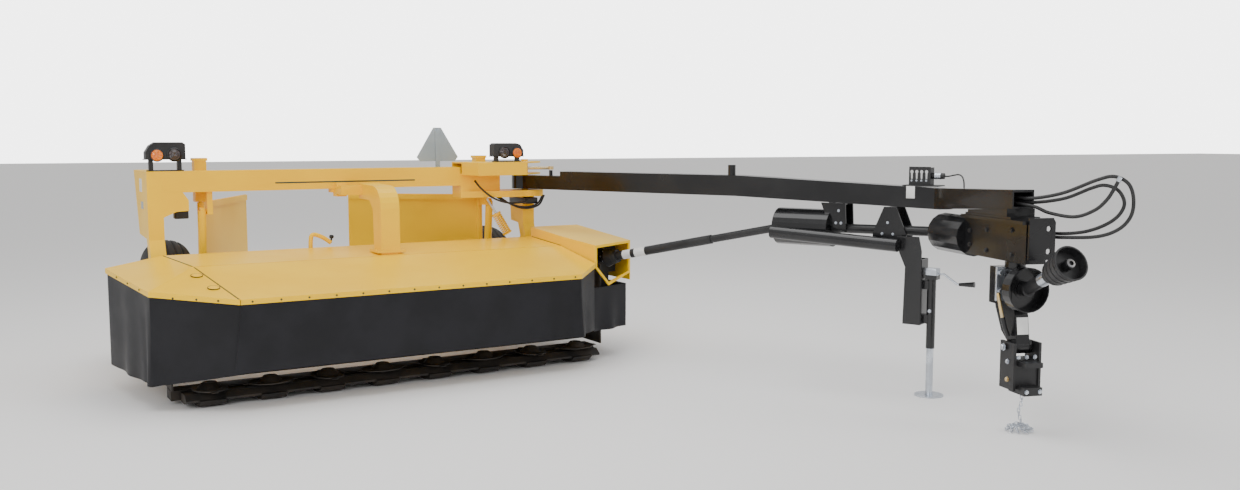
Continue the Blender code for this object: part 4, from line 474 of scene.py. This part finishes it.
def hose_points(side, start_z, route, end=None):
    """A hose out of the nose's mouth, along (ahead, height) places and, if given, into the hitch head."""
    points = [on_nose(0.7608, side, start_z), on_nose(0.88, side, start_z)]
    mouth = on_nose(NOSE_LENGTH, 0, 0)
    points += [mouth + HEADING * along + HEAD_LEFT * side + np.array([0, 0, z]) for along, z in route]
    if end is not None:
        points += [on_nose(end[0], 0.113, end[1]), on_nose(end[0], 0.0688, end[1])]
    return points


OUTER = ((0.052, 1.434), (0.232, 1.472), (0.42, 1.553), (0.515, 1.575), (0.592, 1.535), (0.622, 1.45),
         (0.612, 1.35), (0.548, 1.27), (0.43, 1.222), (0.24, 1.207))
INNER = ((0.052, 1.408), (0.232, 1.438), (0.38, 1.502), (0.455, 1.522), (0.53, 1.495), (0.567, 1.425),
         (0.543, 1.355), (0.474, 1.295), (0.365, 1.248), (0.24, 1.228))
LOWER = ((0.071, 1.388), (0.167, 1.352), (0.311, 1.335), (0.421, 1.378), (0.485, 1.44), (0.525, 1.51),
         (0.555, 1.575))


def cord(name, node, points, radius, body="tongue"):
    """A round cord along a smooth route, in place of its solid."""
    path, length = smooth_route(points, 0.008)
    made = tube(name, path, radius, hose_rubber, body)
    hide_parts(node)
    print(name, "is", round(length, 3), "m long")
    return made


outer_points = hose_points(0.0, 1.440, OUTER, (1.055, 1.205))
inner_points = hose_points(0.030, 1.416, INNER, (1.020, 1.225))
cord("outer hose", "hose_outer", outer_points, HOSE_RADIUS)
cord("inner hose", "hose_inner", inner_points, HOSE_RADIUS)
lower_points = hose_points(-0.030, 1.404, LOWER)
tip, before = lower_points[-1], lower_points[-2]
tip_axis = (tip - before) / np.linalg.norm(tip - before)
COUPLING = ((0, -0.030), (0.0135, -0.030), (0.0135, -0.006), (0.0115, -0.004), (0.0115, -0.001), (0, -0.001))
coupling = turned("hose coupling", COUPLING, 20, zinc, "tongue", tip + tip_axis * 0.001, tip_axis)
cord("lower hose", "hose_lower", lower_points, HOSE_RADIUS)
plug = (3.785, 0.012, 1.533)
nose_top = 1.450 + 0.034 * 0.305 / 1.01
cable_points = [on_tongue(plug[0] + 0.0008, plug[1], plug[2]), on_tongue(plug[0] + 0.03, plug[1], plug[2]),
                on_nose(0.12, 0.05, plug[2] + 0.014), on_nose(0.20, 0.035, plug[2] + 0.004),
                on_nose(0.255, 0.018, nose_top + 0.045), on_nose(0.275, 0.01, nose_top + 0.003)]
cord("lamp cable run", "lamp_cable", cable_points, CABLE_RADIUS)

# %% [markdown]
# ## Spring and chain
# The flotation spring is a coil round a rod. The chain hangs from the drawbar clevis and ends in a heap.

# %% Spring and chain
top, bottom = at(1.14, 1.415, 1.275), at(1.31, 1.36, 0.965)
middle = top * 0.58 + bottom * 0.42
down = (bottom - middle) / np.linalg.norm(bottom - middle)
across = np.cross(down, [0, 0, 1])
across /= np.linalg.norm(across)
other = np.cross(down, across)
turns = np.linspace(0, 1, 400)
circle = turns * math.tau * 11
coil = (middle + down * 0.004 + turns[:, None] * (bottom - middle - down * 0.008)
        + 0.034 * (np.cos(circle)[:, None] * across + np.sin(circle)[:, None] * other))
spring = tube("flotation coil", coil, 0.0062, yellow, "machine", 10)
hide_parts("flotation_spring")
rod_length = float(np.linalg.norm(bottom - top))
turned("spring rod", [(0, 0), (0.010, 0), (0.010, rod_length), (0, rod_length)], 16, zinc, "machine", top,
       bottom - top)
for end in (middle + down * 0.004, bottom - down * 0.012):
    turned("spring cup", [(0, 0), (0.042, 0), (0.042, 0.010), (0, 0.010)], 24, yellow, "machine", end, down)


def chain_link(centre, direction, face):
    """Points of one oval link: a stadium 36 x 21 mm of 5.6 mm wire, as a closed tube."""
    t = np.linspace(0, math.tau, 20, endpoint=False)
    x = np.cos(t) * 0.0075 + np.sign(np.cos(t)) * np.minimum(np.abs(np.cos(t)) * 4, 1) * 0.0075
    y = np.sin(t) * 0.0075
    direction = np.array(direction, float) / np.linalg.norm(direction)
    face = np.array(face, float) - direction * np.dot(direction, face)
    face /= np.linalg.norm(face)
    wide = np.cross(face, direction)
    line = np.asarray(centre) + x[:, None] * direction + y[:, None] * wide
    around = np.roll(line, -1, axis=0) - np.roll(line, 1, axis=0)
    around /= np.linalg.norm(around, axis=1)[:, None]
    out = np.cross(around, face)
    a = np.linspace(0, math.tau, 8, endpoint=False)
    wire = np.cos(a)[None, :, None] * out[:, None] + np.sin(a)[None, :, None] * face
    ring = line[:, None] + 0.0028 * wire
    return ring.reshape(-1, 3)


links = []
CHAIN_AHEAD, HANG_FROM, HANG_TO, PITCH = 0.105, 0.249, 0.05, 0.0215
HEAP_LINKS = 46
for i, z in enumerate(np.arange(HANG_FROM - 0.012, HANG_TO, -PITCH)):
    sway = 0.006 * math.sin(i * 0.9)
    links.append(chain_link(on_swivel(CHAIN_AHEAD + sway, sway, z), (0, 0, 1),
                            (1, 0.3, 0) if i % 2 else (-0.3, 1, 0)))
rng = np.random.default_rng(4)
for i in range(HEAP_LINKS):
    turn, reach = i * 1.9, 0.012 + 0.062 * (i / HEAP_LINKS) ** 0.6
    height = 0.010 + 0.030 * (1 - i / HEAP_LINKS) + 0.004 * (i % 3)
    spot = on_swivel(CHAIN_AHEAD + reach * math.cos(turn), reach * math.sin(turn), height)
    links.append(chain_link(spot, (-math.sin(turn), math.cos(turn), rng.uniform(-0.4, 0.4)),
                            rng.uniform(-1, 1, 3)))
one = quads(20, 8, closed_rows=True, closed_columns=True)
link_faces = np.concatenate([one + len(links[0]) * i for i in range(len(links))])
chain = write_mesh("chain links", np.concatenate(links), link_faces, zinc, "drawbar_clevis")
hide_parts("safety_chain")
print(len(links), "chain links")

# %% [markdown]
# ## Lamps, labels and the stripe
# Each lamp has a round amber lens outboard and a dark one inboard. The labels are blank.

# %% Lamps, labels and stripe
for side, centres, face in (("right", ((-1.517, 1.668), (-1.395, 1.672)), 1.45),
                            ("left", ((1.382, 1.668), (1.262, 1.672)), 1.31)):
    for (x, z), glass, size, kind in zip(centres, (amber, dark_lens), (0.043, 0.047), ("turn", "tail")):
        place = at(x, face + 0.001, z)
        ring = [(size * 0.2, 0.0), (size + 0.006, 0.0), (size + 0.006, 0.008), (size, 0.012), (size, 0.006),
                (0, 0.004)]
        turned(f"{side} {kind} lamp ring", ring, 36, plastic, "machine", place, (0, -1, 0))
        dome = [(r, 0.006 + 0.010 * math.sqrt(max(0, 1 - (r / size) ** 2)) + 0.0012 * math.cos(r * 1400))
                for r in np.linspace(size, 0, 16).tolist()]
        turned(f"{side} {kind} lens", dome, 36, glass, "machine", place, (0, -1, 0))

block("beam stripe", at(-0.09, 1.4195, 1.447), (1.15, 0.002, 0.011), stripe_green, "machine", radius=0.0009)
block("leg label upper", at(-1.6005, 1.70, 1.44), (0.002, 0.11, 0.10), label_white, "machine", radius=0.0009)
block("leg label lower", at(-1.6005, 1.66, 1.29), (0.002, 0.10, 0.055), sign_grey, "machine", radius=0.0009)
block("tongue tag", on_tongue(3.578, -0.0758, 1.42), (0.062, 0.002, 0.085), label_white, "tongue",
      TONGUE_TURN, 0.0009)
neck_turn = axes(on_swivel(0.112, 0, 0.535) - on_swivel(0.085, 0, 0.72), on_nose(1, 0, 0) - on_nose(0, 0, 0))
block("neck label", on_swivel(0.1005, 0, 0.655), (0.105, 0.076, 0.003), label_white, "hitch_swivel",
      neck_turn, 0.0012)


def sleeve(name, start, end, near, far, radius, finish, body):
    """A thin ring round a bar between two shares of its length, like a label wrapped right round it."""
    start, end = np.asarray(start, float), np.asarray(end, float)
    length = float(np.linalg.norm(end - start)) * (far - near)
    return turned(name, [(radius - 0.002, 0), (radius, 0), (radius, length), (radius - 0.002, length)], 28,
                  finish, body, start + (end - start) * near, end - start)


drive_start = at(1.81, 0.45, 0.812)
drive_end = on_tongue(2.53, -0.01, 1.122)
sleeve("driveline label 1", drive_start, drive_end, 0.085, 0.135, 0.0372, label_white, "driveline")
sleeve("driveline label 2", drive_start, drive_end, 0.160, 0.225, 0.0372, label_white, "driveline")
pto_start, pto_end = on_swivel(0.135, 0, 0.885), on_swivel(0.50, 0, 1.065)
sleeve("half shaft sleeve", pto_start, pto_end, 0.40, 0.56, 0.0402, zinc, "hitch_swivel")
print("lenses, stripe and six blank labels")

# %% [markdown]
# ## Small fittings
# Bolts along the hood's lip, latches on the end cover, the lever behind the hood, the rubber stop, the
# collar of the left leg, the jack's gear head, the links and bolts of the hitch.

# %% Fittings on the header and frame
for i, x in enumerate(np.linspace(-1.20, 1.22, 14)):
    bolt(f"lip bolt {i + 1}", at(x, 0.0004, 0.732), (0, -1, 0), dull_black, "front_lid", 0.0055)
for i, (x, y) in enumerate(((-1.40, 0.077), (-1.52, 0.154), (-1.65, 0.236))):
    bolt(f"end lip bolt {i + 1}", at(x, y - 0.002, 0.735 + 0.1 * y), (-0.535, -0.845, 0), dull_black,
         "machine", 0.0055)
for i, y in enumerate((0.50, 0.75, 1.0)):
    x = -1.785 - 0.135 * (y - 0.32) / 0.94
    bolt(f"side lip bolt {i + 1}", at(x - 0.001, y, 0.783 + 0.066 * (y - 0.32) / 0.94), (-1, 0, 0),
         dull_black, "machine", 0.0055)
for i, share in enumerate((0.36, 0.73)):
    x, y = -1.28 - 0.14 * share - 0.055, 0.75 * share
    ring = [(0.020, 0.0), (0.038, 0.0), (0.038, 0.004), (0.033, 0.006), (0.029, 0.003), (0.018, 0.003),
            (0.012, 0.007), (0, 0.007)]
    turned(f"cover latch {i + 1}", ring, 32, yellow, "machine", at(x, y, hood_z(y) - 0.0005),
           (0.0, -0.196, 0.98))
    turned(f"latch edge {i + 1}", [(0.036, 0.0), (0.0405, 0.0), (0.0405, 0.0052), (0.036, 0.0052)], 32,
           dull_black, "machine", at(x, y, hood_z(y) - 0.0005), (0.0, -0.196, 0.98))


def seam(name, start, end, width, finish, body):
    """A flat strip laid along a seam between two places."""
    start, end = np.asarray(start, float), np.asarray(end, float)
    size = (float(np.linalg.norm(end - start)), width, 0.004)
    return block(name, (start + end) / 2, size, finish, body, axes(end - start), 0.0015)


seam("end cover seam", at(-1.2835, 0.012, 0.7515), at(-1.4175, 0.735, 0.8965), 0.009, dull_black, "machine")
seam("end cover seam back", at(-1.423, 0.765, 0.9005), at(-1.527, 1.285, 0.934), 0.009, dull_black, "machine")
seam("gearbox cover seam", at(1.506, 0.76, 0.9015), at(1.506, 1.28, 0.9345), 0.008, dull_black, "machine")
lever = smooth_route([at(-0.425, 1.335, 0.83), at(-0.425, 1.335, 0.985), at(-0.405, 1.335, 1.035),
                      at(-0.33, 1.335, 1.01), at(-0.265, 1.335, 0.965)], 0.01)[0]
tube("lever", lever, 0.017, yellow, "machine", 12)
block("lever foot", at(-0.425, 1.335, 0.845), (0.09, 0.045, 0.012), yellow, "machine")
turned("lever knob", [(0, 0), (0.007, 0), (0.007, 0.035), (0.016, 0.040), (0.019, 0.052), (0.014, 0.064),
                      (0, 0.066)], 20, plastic, "machine", at(-0.263, 1.335, 0.962), (0.1, 0, 1))
block("rubber stop", at(-1.345, 1.56, 1.222), (0.10, 0.08, 0.075), plastic, "machine", radius=0.008)
block("left leg collar", at(1.545, 1.52, 1.245), (0.120, 0.335, 0.055), plastic, "machine", radius=0.008)
FRAME_HOSES = (
    ((1.02, 1.40, 1.43), (1.06, 1.345, 1.36), (1.16, 1.325, 1.28), (1.30, 1.33, 1.235), (1.44, 1.34, 1.235),
     (1.50, 1.352, 1.25)),
    ((1.20, 1.40, 1.30), (1.30, 1.335, 1.235), (1.44, 1.322, 1.195), (1.58, 1.33, 1.215),
     (1.655, 1.36, 1.29)),
    ((1.23, 1.40, 1.30), (1.33, 1.338, 1.222), (1.46, 1.325, 1.182), (1.60, 1.335, 1.205),
     (1.672, 1.36, 1.29)))
for i, points in enumerate(FRAME_HOSES):
    path, length = smooth_route([at(*point) for point in points], 0.01)
    made = tube(f"frame hose {i + 1}", path, 0.008, hose_rubber, "machine", 12)
    print("frame hose", i + 1, "is", round(length, 3), "m long")
for i, (x, z) in enumerate(((1.70, 0.83), (1.92, 0.83), (1.70, 0.72))):
    bolt(f"gearbox bolt {i + 1}", at(x, 0.674, z), (0, -1, 0), zinc, "machine", 0.010)
for i in range(6):
    turn = math.tau * i / 6
    place = at(1.81 + 0.048 * math.cos(turn), 0.5355, 0.812 + 0.048 * math.sin(turn))
    bolt(f"guard screw {i + 1}", place, (0, -1, 0), zinc, "machine", 0.006)
print("header and frame fittings")

# %% Fittings on the tongue and hitch
side_dir = on_nose(0, 1, 0) - on_nose(0, 0, 0)
nose_dir = on_nose(1, 0, 0) - on_nose(0, 0, 0)
tongue_dir = on_tongue(1, 0, 0) - on_tongue(0, 0, 0)
tongue_side = on_tongue(0, 1, 0) - on_tongue(0, 0, 0)
HEAD_BOLTS = ((0.50, 1.20), (0.50, 1.11), (0.70, 1.22), (0.70, 1.09), (0.98, 1.24), (0.98, 1.09))
for i, (along, z) in enumerate(HEAD_BOLTS):
    bolt(f"hitch head bolt {i + 1}", on_nose(along, -0.0675, z), -side_dir, dull_black, "tongue", 0.013)
BRACKET_BOLTS = ((3.04, 1.27), (3.02, 1.18), (3.06, 1.18), (3.42, 1.20), (3.46, 1.12), (3.38, 1.12))
for i, (along, z) in enumerate(BRACKET_BOLTS):
    bolt(f"bracket bolt {i + 1}", on_tongue(along, -0.0725 if along < 3.2 else -0.0855, z), -tongue_side,
         zinc, "tongue", 0.008)
for i in range(4):
    bolt(f"holder clip {i + 1}", on_tongue(3.565 + i * 0.035, -0.0262, 1.500), -tongue_side, zinc, "tongue",
         0.006)
turned("plug shell", [(0, 0), (0.0235, 0), (0.0235, 0.012), (0.0215, 0.014), (0.0215, 0.030),
                      (0.0235, 0.032), (0.0235, 0.04), (0.0215, 0.04)], 28, zinc, "tongue",
       on_tongue(3.722, 0.012, 1.533), tongue_dir)
block("jack gear head", on_tongue(3.7495, -0.07, 0.873), (0.084, 0.075, 0.050), zinc, "tongue", TONGUE_TURN,
      0.006)
crank = [on_tongue(3.775, -0.07, 0.86), on_tongue(3.83, -0.07, 0.86), on_tongue(3.925, -0.08, 0.80),
         on_tongue(3.950, -0.08, 0.798)]
tube("jack crank", crank, 0.0076, zinc, "tongue", 12)
bolt("jack pin", on_tongue(3.745, -0.1005, 0.60), -tongue_side, zinc, "tongue", 0.010)
block("shift plate", on_swivel(0.0, -0.100, 0.905), (0.016, 0.062, 0.21), zinc, "hitch_swivel", NOSE_TURN,
      0.004)
for i, z in enumerate((0.975, 0.862)):
    bolt(f"shift plate bolt {i + 1}", on_swivel(0.0075, -0.106, z), nose_dir, zinc, "hitch_swivel", 0.016)
tube("shift rod", [on_swivel(0.012, -0.118, 0.85), on_swivel(0.020, -0.106, 0.77),
                   on_swivel(0.028, -0.092, 0.69)], 0.011, gold_zinc, "hitch_swivel", 14)
tube("shift rod end", [on_swivel(0.027, -0.0925, 0.70), on_swivel(0.035, -0.080, 0.64),
                       on_swivel(0.045, -0.062, 0.585)], 0.0135, black, "hitch_swivel", 14)
CLEVIS_BOLTS = ((0.1545, -0.055, 0.472), (0.1545, 0.055, 0.472), (0.1545, 0.0, 0.472),
                (0.2345, -0.045, 0.275), (0.2345, 0.045, 0.275))
for i, place in enumerate(CLEVIS_BOLTS):
    bolt(f"clevis bolt {i + 1}", on_swivel(*place), nose_dir, zinc, "drawbar_clevis", 0.011)
for i, z in enumerate((0.33, 0.44)):
    bolt(f"clevis side bolt {i + 1}", on_swivel(0.10, -0.0925, z), -side_dir, gold_zinc if i == 0 else zinc,
         "drawbar_clevis", 0.013)
bolt("cross pin nut", on_swivel(0.07, -0.1045, 0.525), -side_dir, zinc, "drawbar_clevis", 0.018)
t = np.linspace(-math.pi / 2, math.pi / 2, 24)
loop = [on_swivel(0.10 + 0.032 * math.sin(a), 0.091 + 0.045 * math.cos(a), 0.40) for a in t]
tube("clevis loop", loop, 0.008, black, "drawbar_clevis", 12)
axis_dir = (pto_end - pto_start) / np.linalg.norm(pto_end - pto_start)
BELL_RIBS = ((-0.10, 0.0802), (-0.06, 0.0866), (-0.015, 0.0938), (0.03, 0.1010), (0.056, 0.1052))
for i, (share, radius) in enumerate(BELL_RIBS):
    rib = [(radius - 0.006, -0.004), (radius, -0.003), (radius, 0.003), (radius - 0.006, 0.004)]
    turned(f"bell rib {i + 1}", rib, 40, plastic, "hitch_swivel", pto_end + axis_dir * share, axis_dir)
splines = [(0.014, 0.0), (0.026, 0.0), (0.026, 0.012), (0.022, 0.014), (0.014, 0.014)]
turned("yoke splines", splines, 18, steel, "hitch_swivel", pto_end + axis_dir * 0.047, axis_dir)
drive_dir = (drive_end - drive_start) / np.linalg.norm(drive_end - drive_start)
for i, (share, radius) in enumerate(((0.02, 0.061), (0.045, 0.055), (0.068, 0.051))):
    inside, outside = radius - 0.006, radius + 0.004
    rib = [(inside, -0.003), (outside, -0.003), (outside, 0.003), (inside, 0.003)]
    turned(f"driveline bell rib {i + 1}", rib, 32, plastic, "driveline", drive_start + drive_dir * share,
           drive_dir)
print("tongue and hitch fittings")

# %% [markdown]
# ## Floor, light and camera
# A pale floor under an even sky, with large soft lights: one over the machine, one from the left and a weak
# one from the right. The lit backdrop is seen behind the machine but is left out of the light on it.


# %% Floor, light and camera
def plain(name, colour, roughness):
    """A material of one even colour."""
    made, shader, _ = new_material(name, roughness)
    shader.inputs["Base Color"].default_value = (*colour, 1.0)
    return made


floor_mesh = bpy.data.meshes.new("floor")
floor_mesh.from_pydata([(-120, -120, 0), (120, -120, 0), (120, 160, 0), (-120, 160, 0)], [], [(0, 1, 2, 3)])
floor_mesh.materials.append(plain("pale floor", (0.93, 0.92, 0.91), 0.7))
floor = bpy.data.objects.new("floor", floor_mesh)
bpy.context.scene.collection.objects.link(floor)
floor.location.z = -0.001


def area_light(name, place, aim, size, power):
    """A white rectangle of light, size (width, height) in metres, turned to face the aim."""
    light = bpy.data.lights.new(name, "AREA")
    light.shape = "RECTANGLE"
    light.size, light.size_y = size
    light.energy = power
    made = bpy.data.objects.new(name, light)
    made.location = place
    made.rotation_euler = (Vector(aim) - Vector(place)).to_track_quat("-Z", "Y").to_euler()
    bpy.context.scene.collection.objects.link(made)


backdrop_mesh = bpy.data.meshes.new("backdrop")
backdrop_mesh.from_pydata([(-150, 100, -2), (170, 60, -2), (170, 60, 60), (-150, 100, 60)], [],
                          [(0, 1, 2, 3)])
backdrop_paint = plain("lit backdrop", (0.9, 0.9, 0.9), 0.9)
backdrop_shader = backdrop_paint.node_tree.nodes["Principled BSDF"]
backdrop_shader.inputs["Emission Color"].default_value = (1.0, 1.0, 1.0, 1.0)
backdrop_shader.inputs["Emission Strength"].default_value = 4.0
backdrop_mesh.materials.append(backdrop_paint)
backdrop = bpy.data.objects.new("backdrop", backdrop_mesh)
bpy.context.scene.collection.objects.link(backdrop)
backdrop.visible_diffuse = False
backdrop.visible_glossy = False

area_light("over light", (-0.5, 0.5, 7.5), (0, 0, 0), (8, 5), 380)
area_light("left light", (-8.0, -6.0, 5.0), (0, 0, 0.7), (5, 4), 330)
area_light("right light", (7.0, -8.0, 4.0), (0.5, -1.0, 0.8), (4, 3), 170)
world = bpy.data.worlds.new("even sky")
world.use_nodes = True
world.node_tree.nodes["Background"].inputs["Color"].default_value = (1.0, 1.0, 1.0, 1.0)
world.node_tree.nodes["Background"].inputs["Strength"].default_value = 0.80
bpy.context.scene.world = world

camera = bpy.data.objects.new("camera", bpy.data.cameras.new("camera"))
camera.data.sensor_width = 36.0
camera.data.lens = 32.06
camera.location = (-3.515528, -6.976845, 1.7986)
camera.rotation_euler = (math.radians(90 - 5.5536), 0, math.radians(-31.763))
bpy.context.scene.collection.objects.link(camera)
bpy.context.scene.camera = camera
print("camera", [round(value, 3) for value in camera.location])
